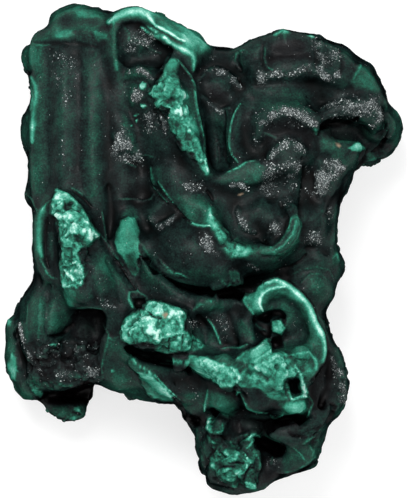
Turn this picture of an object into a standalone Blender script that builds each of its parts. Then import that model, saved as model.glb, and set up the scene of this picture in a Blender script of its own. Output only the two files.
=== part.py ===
"""A hand specimen of malachite lying on its back, as one solid.

The stone is a cluster of grown-together lobes. A few core masses fill the middle, lobes round the
rim give the outline, and slabs, lobes and rolls make the face. They are all fused into one skin.
Crumbs roughen the broken patches and lumps the sides. Hollows and clefts are cut into the face, and
the back is one flat cut where the stone rests.

Frame: millimetres in the lists and metres in the scene, +Z up out of the face, +Y towards the
specimen's top, origin in the middle of the outline, on the surface that the stone lies on.
"""

from math import cos, hypot, pi, radians, sin
from random import Random

import bmesh
import bpy
from mathutils import Euler, Matrix, Vector
from mathutils.bvhtree import BVHTree

MM = 0.001

LENGTH = 79.0  # along Y
WIDTH = 64.3  # along X
THICKNESS = 37.0  # along Z, from the flat back to the highest crumb

TRIANGLES = 9600
VOXEL = 0.55  # the grain of the fused skin
COAT = 0.5  # how far the skin is swollen and shrunk back, which closes the narrow joints
SMOOTH_STEPS = 2
BACK_BAND = 0.3  # everything lower than this is brought down to the flat back

SLAB_SINK = 1.0  # how far the slabs lie under the tops given for them
SLAB_FOOT = 9.0  # height of the bottom of the slabs
SKIRT = 0.4  # how much wider a roll's skirt is, more for the thin ones
SKIRT_DROP = 0.6  # how far the skirt lies below its roll, in radii
MOUTH = 46.0  # a height above the whole stone
CLEFT_STEP = 0.5  # between the beads that a cleft is cut with
SEED = 11  # for the crumbs and the side lumps
CRUMB_RISE = 0.2  # how far a crumb's centre stands out of the skin, in radii
CRUMB_SIZES = (0.7, 1.5)  # a crumb's radius against its patch's mean
CRUMB_WIDTHS = (0.6, 0.9)  # its two shorter radii against its longest
CRUMB_DEPTHS = (0.5, 0.8)
SIDE_LUMPS = 420  # places tried round the sides, of which those inside the outline get a lump
SIDE_HEIGHTS = (2.0, 24.0)
SIDE_RADII = (1.8, 3.6)
SIDE_RISES = (0.4, 1.3)  # how far a side lump stands out
SIDE_TIPS = 0.8  # where a side lump's two outer tips are, in radii from its middle

# All lengths below are in millimetres and all turns in degrees about Z.
# A lobe is (x, y, top, half x, half y, half z, turn): an egg-shaped lump.
CORE_LOBES = [
    (-19, 19, 25.5, 8.8, 16.5, 15.5, 0),
    (-6, 14, 28.0, 12.5, 20.0, 18.0, 0),
    (13, 20, 25.0, 14.0, 11.5, 15.0, 0),
    (9, 0, 27.0, 12.0, 14.0, 17.0, 0),
    (-21, -12, 22.0, 8.5, 10.5, 14.5, 0),
    (-5, -11, 28.0, 13.0, 11.0, 18.0, 0),
    (9, -22, 26.0, 11.0, 12.5, 16.0, 0),
    (6, -31, 20.0, 7.0, 7.0, 12.0, 0),
]

# Lobes clockwise round the rim from the top left. They alone make the outline.
RIM_LOBES = [
    (-20.3, 35.3, 24.0, 3.8, 4.0, 8.0, 0),
    (-23.1, 35.8, 22.5, 2.0, 2.5, 6.0, 0),
    (-16.8, 35.2, 25.0, 2.8, 3.0, 8.0, 0),
    (-11.0, 35.6, 28.5, 3.6, 3.0, 10.0, -5),
    (-6.6, 34.0, 28.5, 3.2, 3.0, 10.0, -25),
    (-2.6, 32.0, 28.5, 3.2, 3.1, 10.0, -30),
    (3.4, 29.4, 26.0, 4.2, 2.8, 9.0, 0),
    (8.0, 29.3, 25.0, 3.4, 2.9, 8.0, 10),
    (12.7, 31.2, 26.0, 3.3, 3.9, 9.0, 0),
    (17.0, 30.6, 26.0, 4.1, 4.0, 9.0, 0),
    (21.3, 29.3, 26.0, 3.6, 3.7, 9.0, -35),
    (24.7, 26.9, 26.0, 3.3, 3.6, 9.0, -40),
    (26.8, 23.9, 27.0, 3.1, 3.4, 9.0, 20),
    (30.4, 19.4, 19.0, 1.8, 3.6, 6.5, 8),
    (29.0, 16.2, 16.5, 2.3, 2.3, 5.0, 0),
    (26.6, 14.9, 15.5, 2.9, 1.9, 5.0, 25),
    (20.5, 11.6, 27.0, 3.9, 4.0, 10.0, 0),
    (19.2, 4.5, 26.5, 2.8, 6.4, 10.0, 0),
    (20.4, -3.0, 24.0, 2.9, 2.8, 8.0, 0),
    (18.6, -7.0, 23.5, 2.6, 2.6, 8.0, 0),
    (17.2, -11.5, 26.0, 2.8, 3.4, 10.0, 0),
    (20.7, -21.3, 23.0, 2.9, 6.4, 9.0, 3),
    (18.6, -15.2, 23.5, 2.6, 3.6, 9.0, 20),
    (17.3, -29.0, 24.0, 2.9, 3.4, 8.0, 0),
    (16.6, -33.4, 22.5, 2.5, 2.4, 7.5, 0),
    (12.0, -33.6, 22.0, 3.9, 3.2, 8.0, 15),
    (6.3, -35.4, 22.5, 4.6, 4.1, 8.5, 0),
    (2.2, -34.3, 21.5, 2.7, 3.2, 7.5, 0),
    (1.4, -30.5, 22.0, 2.8, 3.6, 8.0, 0),
    (-1.6, -26.4, 18.5, 1.9, 1.9, 6.0, 0),
    (-5.2, -21.3, 24.0, 3.3, 3.6, 8.0, 0),
    (-9.4, -20.4, 23.0, 4.4, 4.2, 8.0, -10),
    (-14.0, -18.9, 22.0, 3.7, 4.1, 8.0, -10),
    (-21.6, -25.4, 12.5, 3.4, 2.6, 4.5, 0),
    (-27.7, -21.2, 19.0, 2.8, 3.5, 7.0, 25),
    (-29.2, -17.2, 20.0, 2.9, 5.0, 7.5, 0),
    (-30.6, -12.6, 16.0, 1.4, 1.7, 4.0, 0),
    (-26.2, -11.3, 24.5, 4.1, 6.5, 9.0, -12),
    (-25.3, -0.5, 27.4, 2.1, 6.6, 11.0, 2),
    (-27.9, 8.2, 20.0, 1.1, 1.4, 4.0, 0),
    (-25.7, 11.5, 24.0, 2.6, 6.0, 8.0, 0),
    (-27.0, 18.7, 22.5, 2.4, 4.1, 7.0, 0),
    (-25.6, 25.0, 24.0, 2.0, 4.5, 8.0, 0),
    (-26.5, 30.2, 22.5, 2.8, 2.9, 7.0, 20),
]

# A slab is a list of corners (x, y, top): a broken facet or a draped sheet.
SLABS = [
    # the sheet that carries the flutes
    [(-24.5, 33.0, 25.0), (-19.0, 34.5, 27.0), (-14.5, 34.5, 28.5), (-13.0, 28.0, 29.0),
     (-12.5, 20.0, 29.0), (-10.0, 15.5, 29.0), (-9.0, 10.0, 28.0), (-10.0, 5.0, 28.5), (-14.0, 5.0, 28.5),
     (-16.0, 3.0, 28.5), (-20.0, 4.0, 28.0), (-24.5, 4.0, 26.5), (-25.0, 14.0, 26.5),
     (-25.2, 19.0, 26.5), (-24.8, 25.0, 26.5)],
    # inside the hood
    [(-14.0, 35.5, 29.0), (-11.0, 37.3, 28.0), (-7.0, 35.8, 29.0), (-3.0, 33.6, 29.0), (0.2, 31.6, 28.0),
     (-0.5, 28.0, 30.0), (-4.0, 29.0, 30.0), (-8.0, 30.0, 28.5), (-13.0, 30.0, 28.5)],
    # the tongue
    [(-8.0, 30.0, 29.5), (-4.0, 30.0, 31.0), (-1.5, 28.0, 31.5), (0.0, 20.0, 32.0), (1.2, 12.0, 32.0),
     (2.0, 8.0, 32.5), (1.0, 4.5, 33.0), (-2.0, 4.2, 33.0), (-4.6, 6.8, 32.5), (-8.0, 10.0, 31.5),
     (-8.3, 13.5, 31.5), (-11.0, 17.0, 30.0), (-12.0, 24.0, 29.5)],
    # the channel between the tongue and the fan
    [(-0.5, 31.3, 27.5), (3.0, 31.5, 26.5), (8.0, 31.3, 26.0), (8.0, 27.0, 28.5), (6.0, 22.0, 29.0),
     (4.2, 19.0, 29.0), (4.3, 15.0, 29.0), (6.0, 13.0, 29.5), (1.5, 11.5, 30.0), (0.3, 16.0, 30.0),
     (0.0, 22.0, 30.0)],
    # the fan
    [(8.0, 31.3, 26.0), (13.0, 33.8, 27.0), (18.0, 33.2, 27.0), (23.0, 30.5, 27.0), (26.6, 27.0, 26.5),
     (28.6, 23.5, 25.5), (28.8, 19.0, 24.0), (26.5, 20.0, 27.0), (19.0, 19.5, 29.0), (18.0, 14.0, 30.0),
     (11.0, 13.5, 31.0), (6.0, 13.5, 30.5), (4.8, 17.0, 30.5), (5.5, 22.0, 30.0), (8.0, 27.0, 29.5)],
    # the right side
    [(18.5, 17.5, 27.0), (25.8, 16.5, 25.5), (24.0, 12.0, 24.5), (22.0, 8.0, 24.5), (21.3, 2.0, 24.5),
     (22.4, -3.0, 23.0), (20.3, -8.0, 22.5), (19.3, -11.0, 23.0), (15.0, -8.0, 26.0), (14.5, -3.0, 28.0),
     (16.5, 3.0, 28.5), (16.0, 8.0, 28.5), (15.5, 13.0, 29.5)],
    # under the oval stone and the swirl
    [(1.0, 11.5, 31.0), (6.0, 13.5, 31.0), (11.0, 13.8, 31.0), (16.0, 12.0, 30.0), (16.3, 5.0, 30.0),
     (15.5, 0.0, 31.5), (12.0, -3.0, 31.5), (6.0, -3.5, 32.0), (3.0, -1.0, 33.0), (1.5, 4.0, 33.0)],
    # the plate that laps over the swirl
    [(1.4, 10.4, 33.6), (4.6, 12.8, 33.2), (9.0, 14.2, 33.4), (12.6, 13.4, 33.6), (10.4, 10.8, 33.8),
     (5.6, 9.2, 33.8)],
    # under the belly
    [(-9.5, 0.5, 31.5), (-6.5, 3.6, 32.0), (-2.0, 4.3, 33.0), (1.5, 3.8, 33.5), (4.5, -1.5, 33.5),
     (6.5, -5.0, 33.0), (2.0, -6.5, 33.0), (-3.0, -6.6, 33.0), (-7.0, -4.0, 32.0)],
    # round the finger
    [(-14.0, 6.5, 28.5), (-9.0, 7.5, 29.5), (-5.0, 7.0, 30.5), (-6.0, 3.5, 30.5), (-10.0, 0.0, 29.5),
     (-10.0, -4.0, 30.0), (-8.0, -7.0, 31.0), (-11.0, -7.0, 30.5), (-14.0, -2.5, 29.5), (-16.0, 2.0, 29.0)],
    # the lip under the belly
    [(-10.0, -2.0, 31.5), (-8.5, -2.5, 32.0), (-5.5, -6.5, 32.5), (-1.0, -8.5, 32.5), (2.0, -9.0, 32.5),
     (-1.5, -10.5, 33.0), (-4.0, -9.3, 33.0), (-8.0, -8.0, 32.5), (-10.5, -6.0, 31.5)],
    # the ledge
    [(-23.6, 9.4, 31.0), (-21.0, 8.4, 32.5), (-18.5, 5.2, 32.8), (-16.0, 2.0, 32.8), (-13.4, -2.6, 32.5),
     (-11.2, -6.4, 32.5), (-12.2, -8.5, 32.5), (-12.4, -11.0, 31.5), (-15.4, -10.3, 32.0),
     (-16.5, -9.6, 32.5), (-21.4, -9.7, 32.0), (-22.6, -5.0, 31.5), (-23.0, 0.0, 31.5), (-24.2, 5.0, 31.0)],
    # the gutter beside it
    [(-26.8, 6.0, 26.0), (-24.4, 8.0, 28.5), (-23.5, 5.0, 28.5), (-22.6, 0.0, 28.5), (-22.4, -5.0, 28.0),
     (-24.5, -5.0, 27.5), (-26.8, -5.0, 24.0), (-26.6, 0.0, 25.0)],
    # lower left
    [(-27.3, -6.0, 23.5), (-22.0, -5.0, 26.5), (-21.5, -10.0, 26.5), (-20.5, -12.5, 25.0),
     (-24.0, -14.2, 25.5), (-28.0, -17.5, 23.0), (-29.6, -15.0, 19.0), (-29.4, -10.0, 20.0)],
    [(-28.5, -16.0, 21.0), (-24.0, -14.6, 22.0), (-20.0, -13.5, 21.0), (-16.2, -14.5, 22.0),
     (-15.8, -19.0, 22.0), (-17.5, -21.3, 20.0), (-21.0, -21.8, 20.5), (-27.0, -22.0, 19.0),
     (-29.3, -20.0, 18.0)],
    # the wedge: its left side, the pale flake and the dark right side
    [(-15.4, -14.3, 29.0), (-12.8, -15.2, 29.5), (-9.8, -18.8, 29.5), (-10.4, -19.8, 28.0),
     (-9.2, -23.5, 23.0), (-12.0, -23.0, 21.0), (-16.4, -21.3, 20.5), (-16.0, -17.0, 26.0)],
    [(-10.3, -19.6, 28.6), (-8.4, -19.8, 29.0), (-5.8, -21.8, 28.0), (-3.6, -24.2, 25.0), (-7.0, -24.3, 22.5),
     (-9.2, -23.2, 23.5)],
    [(-9.8, -18.8, 29.8), (-6.0, -19.2, 29.8), (-2.0, -20.0, 30.0), (0.3, -20.5, 30.0), (0.4, -25.5, 27.5),
     (-1.0, -26.5, 24.0), (-3.6, -24.4, 24.5), (-6.0, -21.6, 28.3)],
    # the bloom
    [(-12.0, -7.2, 31.5), (-9.0, -7.4, 32.5), (-7.0, -8.3, 33.5), (-3.2, -9.2, 34.0), (-2.4, -11.0, 34.0),
     (-3.0, -13.0, 34.0), (-0.8, -14.8, 34.0), (-0.8, -17.0, 33.5), (-5.0, -16.8, 33.5), (-9.0, -15.9, 33.0),
     (-12.8, -13.6, 31.5), (-11.6, -10.5, 32.0)],
    # the dark panel
    [(-1.8, -10.0, 32.5), (0.0, -8.8, 32.0), (3.0, -8.7, 31.5), (7.0, -7.5, 32.0), (9.5, -11.0, 31.5),
     (10.5, -14.2, 32.0), (5.5, -15.6, 32.5), (3.0, -16.0, 32.5), (-0.8, -15.0, 33.0), (-2.2, -12.0, 32.5)],
    # the loop's floor and the lower mass
    [(8.8, -9.8, 31.5), (9.6, -7.2, 33.0), (12.2, -5.6, 33.5), (15.2, -7.4, 33.5), (17.5, -10.5, 33.2),
     (18.8, -14.5, 32.5), (18.5, -18.5, 32.0), (16.5, -21.0, 32.5), (17.0, -24.0, 31.0), (16.3, -26.4, 31.0),
     (13.2, -26.6, 32.0), (9.0, -26.0, 32.0), (6.3, -24.5, 32.0), (5.6, -22.0, 33.0), (0.5, -21.0, 32.5),
     (-1.0, -18.0, 33.0), (5.8, -17.4, 34.0), (10.6, -14.6, 34.0), (10.8, -16.0, 33.5), (13.0, -15.8, 32.5),
     (12.8, -13.0, 32.8), (10.0, -12.2, 32.0)],
    [(0.6, -22.3, 30.5), (4.8, -22.3, 31.0), (6.0, -24.8, 30.0), (4.2, -27.0, 27.5), (1.2, -25.2, 28.5)],
    # below the lower mass
    [(0.5, -27.0, 24.0), (4.0, -27.5, 25.5), (10.0, -28.5, 25.5), (16.0, -27.2, 26.5), (19.8, -27.5, 24.0),
     (19.2, -30.5, 22.5), (14.0, -31.0, 23.5), (10.0, -30.0, 25.0), (4.0, -30.5, 25.5), (-0.8, -30.0, 22.0),
     (-1.5, -28.0, 21.0)],
    [(-0.8, -30.5, 22.0), (2.0, -29.0, 26.5), (7.5, -30.2, 26.0), (9.3, -34.0, 25.5), (8.8, -37.2, 23.5),
     (5.0, -38.3, 22.0), (1.0, -36.6, 21.5), (-0.2, -34.0, 21.5)],
    [(9.0, -33.5, 21.0), (13.3, -33.8, 23.0), (13.6, -31.6, 25.0), (18.5, -31.0, 24.0), (18.4, -34.0, 22.5),
     (16.0, -35.8, 20.5), (12.0, -36.7, 19.5), (9.5, -37.5, 20.0)],
    # the right flank
    [(19.5, -11.0, 22.0), (20.8, -14.5, 21.0), (22.8, -20.0, 20.0), (22.6, -24.0, 19.5), (20.3, -27.3, 20.5),
     (18.5, -25.0, 25.0), (18.0, -20.0, 25.5), (20.0, -16.0, 26.5)],
]

FACE_LOBES = [
    # the cap above the flutes
    (-22.5, 36.2, 24.6, 1.9, 1.9, 5.0, 30),
    (-19.6, 37.0, 25.2, 2.4, 1.9, 5.0, 0),
    (-16.4, 36.0, 26.4, 1.9, 1.7, 5.0, 0),
    # nodules in and below the hood
    (-10.0, 32.8, 30.2, 3.4, 2.7, 5.0, 10),
    (-9.6, 27.4, 31.6, 2.4, 1.9, 4.0, 0),
    (-10.4, 24.4, 31.4, 1.5, 1.7, 3.0, 0),
    (-7.6, 24.6, 32.2, 2.4, 2.6, 5.0, 0),
    (-8.2, 20.8, 31.8, 2.4, 2.6, 5.0, 30),
    (-12.4, 17.6, 31.2, 2.2, 4.6, 6.0, 14),
    # the draped tongue below the nodules
    (-4.4, 17.0, 33.4, 5.2, 7.5, 8.0, 30),
    (-4.0, 10.0, 33.8, 4.2, 6.2, 8.0, 24),
    (-1.6, 6.6, 34.2, 3.4, 3.2, 7.0, 20),
    # the smooth band and the pale finger beside the tongue
    (-12.6, 10.8, 29.6, 4.6, 4.0, 6.0, 0),
    (-11.9, 1.8, 32.6, 2.2, 4.9, 6.0, -4),
    (-7.2, 5.6, 31.4, 2.6, 2.6, 6.0, 0),
    # the belly, the largest smooth lobe
    (-1.2, -0.8, 36.4, 7.4, 5.4, 8.5, -24),
    (2.6, -3.2, 35.6, 3.4, 3.0, 7.0, 0),
    # the fan at the top right, with its terraces
    (2.5, 25.6, 31.4, 3.5, 3.2, 6.0, 0),
    (2.4, 21.2, 30.6, 2.6, 2.4, 6.0, 0),
    (12.0, 24.8, 31.6, 7.6, 4.2, 7.0, 0),
    (12.0, 18.6, 32.6, 7.8, 5.6, 7.0, 0),
    (13.6, 14.4, 33.6, 3.9, 3.4, 5.0, 0),
    (20.6, 26.0, 30.2, 3.6, 2.6, 6.0, -20),
    (23.8, 22.4, 29.8, 5.2, 2.7, 6.0, -8),
    (28.0, 20.4, 25.0, 2.0, 4.2, 7.0, 14),
    # the right side below the fan
    (21.2, 14.0, 29.0, 4.2, 2.6, 7.0, 0),
    (20.0, 10.6, 29.6, 2.6, 3.4, 7.0, 0),
    (18.0, 4.0, 29.6, 2.8, 4.8, 7.0, 0),
    (18.6, -2.0, 27.4, 3.4, 2.2, 6.0, 0),
    (17.6, -6.2, 27.6, 4.2, 3.4, 7.0, -20),
    # the plate, the oval stone and the swirl's eye
    (5.6, 11.4, 31.8, 5.4, 2.8, 6.0, 14),
    (9.0, 5.4, 32.6, 4.2, 3.0, 6.0, 10),
    (12.0, 3.4, 33.6, 1.3, 2.4, 4.0, -30),
    (8.4, -2.2, 33.4, 4.4, 2.2, 6.0, 0),
    # the ledge on the left
    (-20.6, 2.4, 33.8, 3.2, 6.6, 8.0, 8),
    (-17.2, -4.4, 34.2, 4.6, 5.6, 8.0, 18),
    (-20.6, -6.0, 32.8, 2.2, 3.8, 8.0, 0),
    # between the ledge and the bloom
    (-13.6, -10.4, 31.4, 2.2, 3.6, 6.0, 10),
    (-14.0, -13.4, 30.2, 1.8, 2.4, 6.0, 0),
    # the toe
    (-23.4, -25.6, 13.2, 2.0, 1.6, 5.0, 0),
    (-19.8, -26.2, 13.0, 1.5, 1.6, 5.0, 20),
    (-21.8, -22.6, 11.0, 4.4, 4.6, 7.0, 0),
    # lower left lobes
    (-25.2, -11.6, 28.2, 3.9, 6.6, 8.0, -8),
    (-24.4, -18.0, 24.2, 3.4, 2.6, 6.0, 0),
    (-19.2, -18.4, 24.6, 3.2, 3.2, 6.0, 0),
    (-24.0, -21.4, 22.0, 4.2, 1.5, 5.0, 0),
    # the pale bloom and the link to the lower mass
    (-10.2, -12.6, 36.0, 2.4, 2.2, 4.0, 20),
    (-9.0, -10.4, 35.8, 2.4, 1.9, 4.0, 0),
    (-6.9, -13.6, 36.8, 2.6, 2.4, 4.0, 0),
    (-5.4, -10.6, 36.2, 2.6, 1.8, 4.0, 0),
    (-3.6, -13.2, 36.2, 2.0, 2.6, 4.0, 20),
    (-4.6, -15.6, 35.6, 3.0, 1.4, 4.0, -8),
    (-9.4, -14.8, 35.4, 2.2, 1.2, 4.0, -20),
    (1.2, -18.6, 34.6, 2.4, 1.9, 5.0, 0),
    (4.2, -20.6, 35.0, 2.2, 1.9, 5.0, 0),
    # the wedge below the bloom
    (-12.6, -18.8, 27.6, 3.4, 4.4, 6.0, -20),
    (-7.4, -21.4, 27.8, 3.6, 2.8, 6.0, -35),
    (-2.4, -22.4, 29.0, 2.8, 3.4, 7.0, 0),
    # the dark panel, the loop's floor and the lower mass
    (3.6, -12.2, 33.2, 4.4, 4.0, 6.0, 0),
    (12.8, -10.0, 33.8, 3.6, 4.4, 6.0, 20),
    (12.2, -12.6, 34.2, 1.2, 1.3, 3.0, 0),
    (8.6, -19.2, 37.0, 2.8, 2.6, 4.0, 0),
    (11.8, -20.6, 37.0, 2.4, 2.8, 4.0, 0),
    (11.4, -17.4, 36.8, 2.6, 2.0, 4.0, 0),
    (15.0, -17.8, 36.6, 2.6, 2.4, 4.0, 0),
    (9.2, -24.0, 36.2, 3.0, 2.4, 4.5, 0),
    (14.8, -25.0, 35.6, 2.0, 1.6, 4.0, 0),
    (8.2, -16.3, 36.4, 2.9, 0.9, 3.0, 26),
    (5.6, -20.6, 36.2, 1.8, 1.8, 4.0, 0),
    (3.0, -24.2, 31.8, 2.4, 2.4, 6.0, -20),
    # the lobes below the lower mass
    (5.0, -33.6, 28.6, 3.9, 4.4, 7.0, 0),
    (2.4, -29.4, 29.6, 1.9, 1.9, 5.0, 0),
    (11.4, -35.0, 23.6, 2.6, 2.4, 6.0, 0),
    (15.4, -32.8, 26.4, 2.9, 2.9, 6.0, 20),
    # the right flank
    (21.4, -21.4, 24.6, 1.9, 5.8, 6.0, 2),
    (19.0, -22.6, 27.0, 1.6, 3.6, 6.0, 0),
]

# A roll is a list of stations (x, y, top, radius): a rounded fold along a smooth curve.
ROLLS = [
    # flutes, from the outside in
    [(-25.4, 31.4, 25.4, 2.6), (-25.0, 27.0, 26.8, 2.6), (-25.2, 18.0, 27.4, 2.8), (-25.0, 8.0, 27.6, 2.6),
     (-24.4, 2.0, 26.4, 2.4)],
    [(-22.0, 32.6, 26.6, 2.2), (-21.7, 25.0, 29.3, 2.3), (-21.6, 16.0, 30.0, 2.4), (-21.4, 8.0, 29.9, 2.3),
     (-21.0, 2.0, 29.0, 2.2)],
    [(-17.8, 32.8, 27.6, 1.6), (-17.8, 24.0, 30.1, 1.7), (-17.6, 15.0, 30.6, 1.7), (-17.2, 8.0, 30.4, 1.7),
     (-16.2, 0.0, 29.0, 1.6)],
    [(-14.6, 31.0, 28.8, 1.4), (-14.2, 24.0, 30.0, 1.6), (-13.6, 14.0, 29.8, 1.9), (-13.2, 6.0, 29.4, 1.9)],
    # the brow over the flutes
    [(-26.0, 33.2, 24.2, 1.4), (-22.0, 33.8, 26.6, 1.5), (-18.0, 34.2, 27.8, 1.5), (-15.0, 33.6, 28.6, 1.3)],
    # the hood's rim, and the smooth shoulder outside it
    [(-13.8, 28.0, 30.6, 0.9), (-14.0, 33.0, 30.6, 1.1), (-13.0, 36.2, 30.2, 1.2), (-10.4, 37.0, 30.2, 1.3),
     (-7.8, 35.8, 31.2, 1.3), (-5.0, 33.6, 32.4, 1.2), (-2.6, 31.9, 33.0, 1.2), (-1.5, 29.6, 32.4, 1.0)],
    [(-7.0, 35.0, 30.0, 2.2), (-3.6, 33.0, 30.6, 2.4), (-0.8, 31.0, 30.0, 2.2)],
    # the pale crest of the tongue and the smooth facet beside it
    [(-4.7, 29.6, 34.0, 1.0), (-5.3, 26.4, 35.4, 2.0), (-4.7, 22.6, 35.8, 2.5), (-2.9, 18.6, 35.8, 2.2),
     (-1.1, 14.6, 35.2, 1.6), (0.6, 11.8, 34.2, 0.9)],
    [(-2.6, 27.6, 32.6, 1.1), (-1.5, 23.0, 33.2, 1.3), (-0.8, 18.0, 33.4, 1.3), (-0.2, 13.0, 33.0, 1.0)],
    # the crest that runs from the tongue under the oval stone into the swirl
    [(1.2, 5.6, 35.0, 1.1), (2.4, 2.4, 36.0, 1.2), (4.6, -0.2, 36.2, 1.3), (7.6, -0.8, 35.4, 1.2),
     (10.8, -0.6, 35.2, 1.5), (13.6, 0.9, 35.2, 1.5), (14.9, 3.6, 34.6, 1.3), (14.4, 6.2, 33.2, 1.0)],
    # the lip round the belly
    [(-9.4, 0.4, 32.6, 1.1), (-8.4, -2.6, 33.4, 1.3), (-5.6, -6.0, 34.0, 1.4), (-2.0, -8.6, 34.0, 1.3),
     (1.4, -9.8, 33.8, 1.0)],
    # the fan's scalloped brim
    [(6.4, 30.4, 28.4, 1.8), (10.0, 31.6, 29.6, 2.4), (14.0, 32.2, 29.8, 2.4), (18.0, 31.0, 29.8, 2.5),
     (22.0, 28.6, 29.6, 2.4), (25.6, 25.8, 28.4, 2.2), (28.0, 22.6, 26.4, 2.0)],
    [(8.8, 27.4, 31.4, 1.3), (13.0, 28.2, 32.0, 1.3), (18.0, 28.2, 31.8, 1.4), (22.6, 27.0, 30.8, 1.3)],
    [(6.0, 22.8, 32.0, 0.9), (4.8, 19.6, 32.8, 0.9), (4.7, 16.4, 32.8, 0.9), (6.0, 13.8, 32.6, 0.9)],
    [(9.0, 20.4, 33.2, 1.2), (12.0, 21.8, 33.8, 1.3), (15.6, 21.4, 33.6, 1.3), (18.2, 19.8, 32.6, 1.0)],
    [(18.6, 20.4, 30.6, 1.0), (21.4, 21.0, 30.6, 1.1), (24.6, 21.6, 30.0, 1.2), (27.4, 20.2, 27.6, 1.2)],
    [(19.2, 16.6, 29.6, 0.9), (22.4, 16.1, 29.4, 0.9), (24.8, 16.1, 27.6, 0.8)],
    # the thin rib beside the ledge
    [(-24.2, 7.6, 29.6, 1.2), (-25.5, 5.6, 28.8, 1.3), (-25.8, 1.6, 28.4, 1.3), (-25.5, -2.0, 28.4, 1.3),
     (-24.2, -4.6, 28.8, 1.2)],
    # the loop
    [(8.8, -10.4, 35.4, 0.8), (9.6, -7.4, 36.0, 1.1), (12.0, -5.8, 36.2, 1.3), (15.0, -7.4, 36.2, 1.5),
     (17.6, -10.8, 36.0, 1.6), (18.6, -14.6, 35.6, 1.6), (18.2, -18.2, 34.8, 1.5), (16.4, -20.8, 35.0, 1.3)],
    [(6.6, -7.8, 33.8, 0.9), (7.4, -11.0, 34.2, 1.2), (6.6, -14.6, 34.2, 1.1)],
    [(-1.8, -10.0, 34.0, 0.8), (0.6, -9.0, 34.2, 0.9), (3.4, -8.9, 33.8, 0.9)],
    # the band that ties the bloom to the lower mass
    [(-3.6, -16.4, 35.0, 1.2), (-0.4, -17.8, 35.2, 1.6), (3.0, -18.8, 35.4, 1.7), (6.4, -19.2, 35.8, 1.7)],
    # lips under the lower mass
    [(9.6, -29.2, 28.8, 1.1), (13.0, -30.2, 29.4, 1.4), (16.6, -29.0, 29.0, 1.6), (19.4, -25.8, 27.4, 1.3)],
    [(7.8, -31.2, 28.8, 0.7), (8.6, -33.6, 28.4, 0.9), (8.2, -36.4, 26.6, 0.9)],
    [(1.8, -37.2, 22.4, 1.3), (5.6, -38.0, 23.6, 1.3), (9.4, -37.4, 23.0, 1.3)],
    # the wedge's upper edge
    [(-14.6, -14.6, 30.2, 0.9), (-11.6, -17.0, 30.8, 0.9), (-8.6, -19.4, 30.8, 0.9),
     (-4.4, -22.8, 29.6, 0.9)],
    [(-15.6, -10.6, 30.6, 1.3), (-15.2, -14.4, 29.8, 0.9), (-15.8, -18.4, 27.4, 1.0)],
]

# A hollow is (x, y, floor, half x, half y, turn): a pit that is open to the front.
HOLLOWS = [
    # the recess under the ledge
    (-17.6, -11.5, 20.0, 2.5, 1.9, 0), (-19.4, -10.9, 22.0, 1.7, 1.2, 0), (-16.6, -13.0, 20.0, 1.2, 1.5, 0),
    (-18.8, -13.0, 21.0, 1.9, 1.3, 0),
    # the cavern above the toe
    (-24.4, -23.7, 8.0, 2.3, 1.0, -6), (-21.4, -23.6, 5.0, 2.6, 1.4, 0), (-18.8, -23.2, 5.0, 1.6, 1.9, 0),
    # below the lower mass
    (9.7, -31.0, 15.0, 1.9, 1.2, -10), (11.9, -32.0, 14.0, 1.7, 1.5, 0), (-1.2, -27.6, 10.0, 1.5, 0.9, -10),
    # under the fan
    (22.0, 18.4, 22.0, 2.6, 1.5, 0), (24.8, 18.2, 21.0, 1.9, 1.3, 0),
    # the window and the pits of the lower mass and the loop
    (14.4, -21.4, 28.0, 1.2, 1.6, 14), (15.2, -22.6, 28.0, 1.0, 1.3, 0), (11.8, -15.2, 29.0, 1.4, 1.1, 20),
    # pockets by the bloom and on the tongue's crest
    (-10.3, -8.7, 29.5, 1.2, 1.0, 20), (-9.3, -9.2, 30.0, 0.9, 1.1, 0), (-6.1, 22.2, 32.5, 1.0, 0.8, 20),
]

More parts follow.
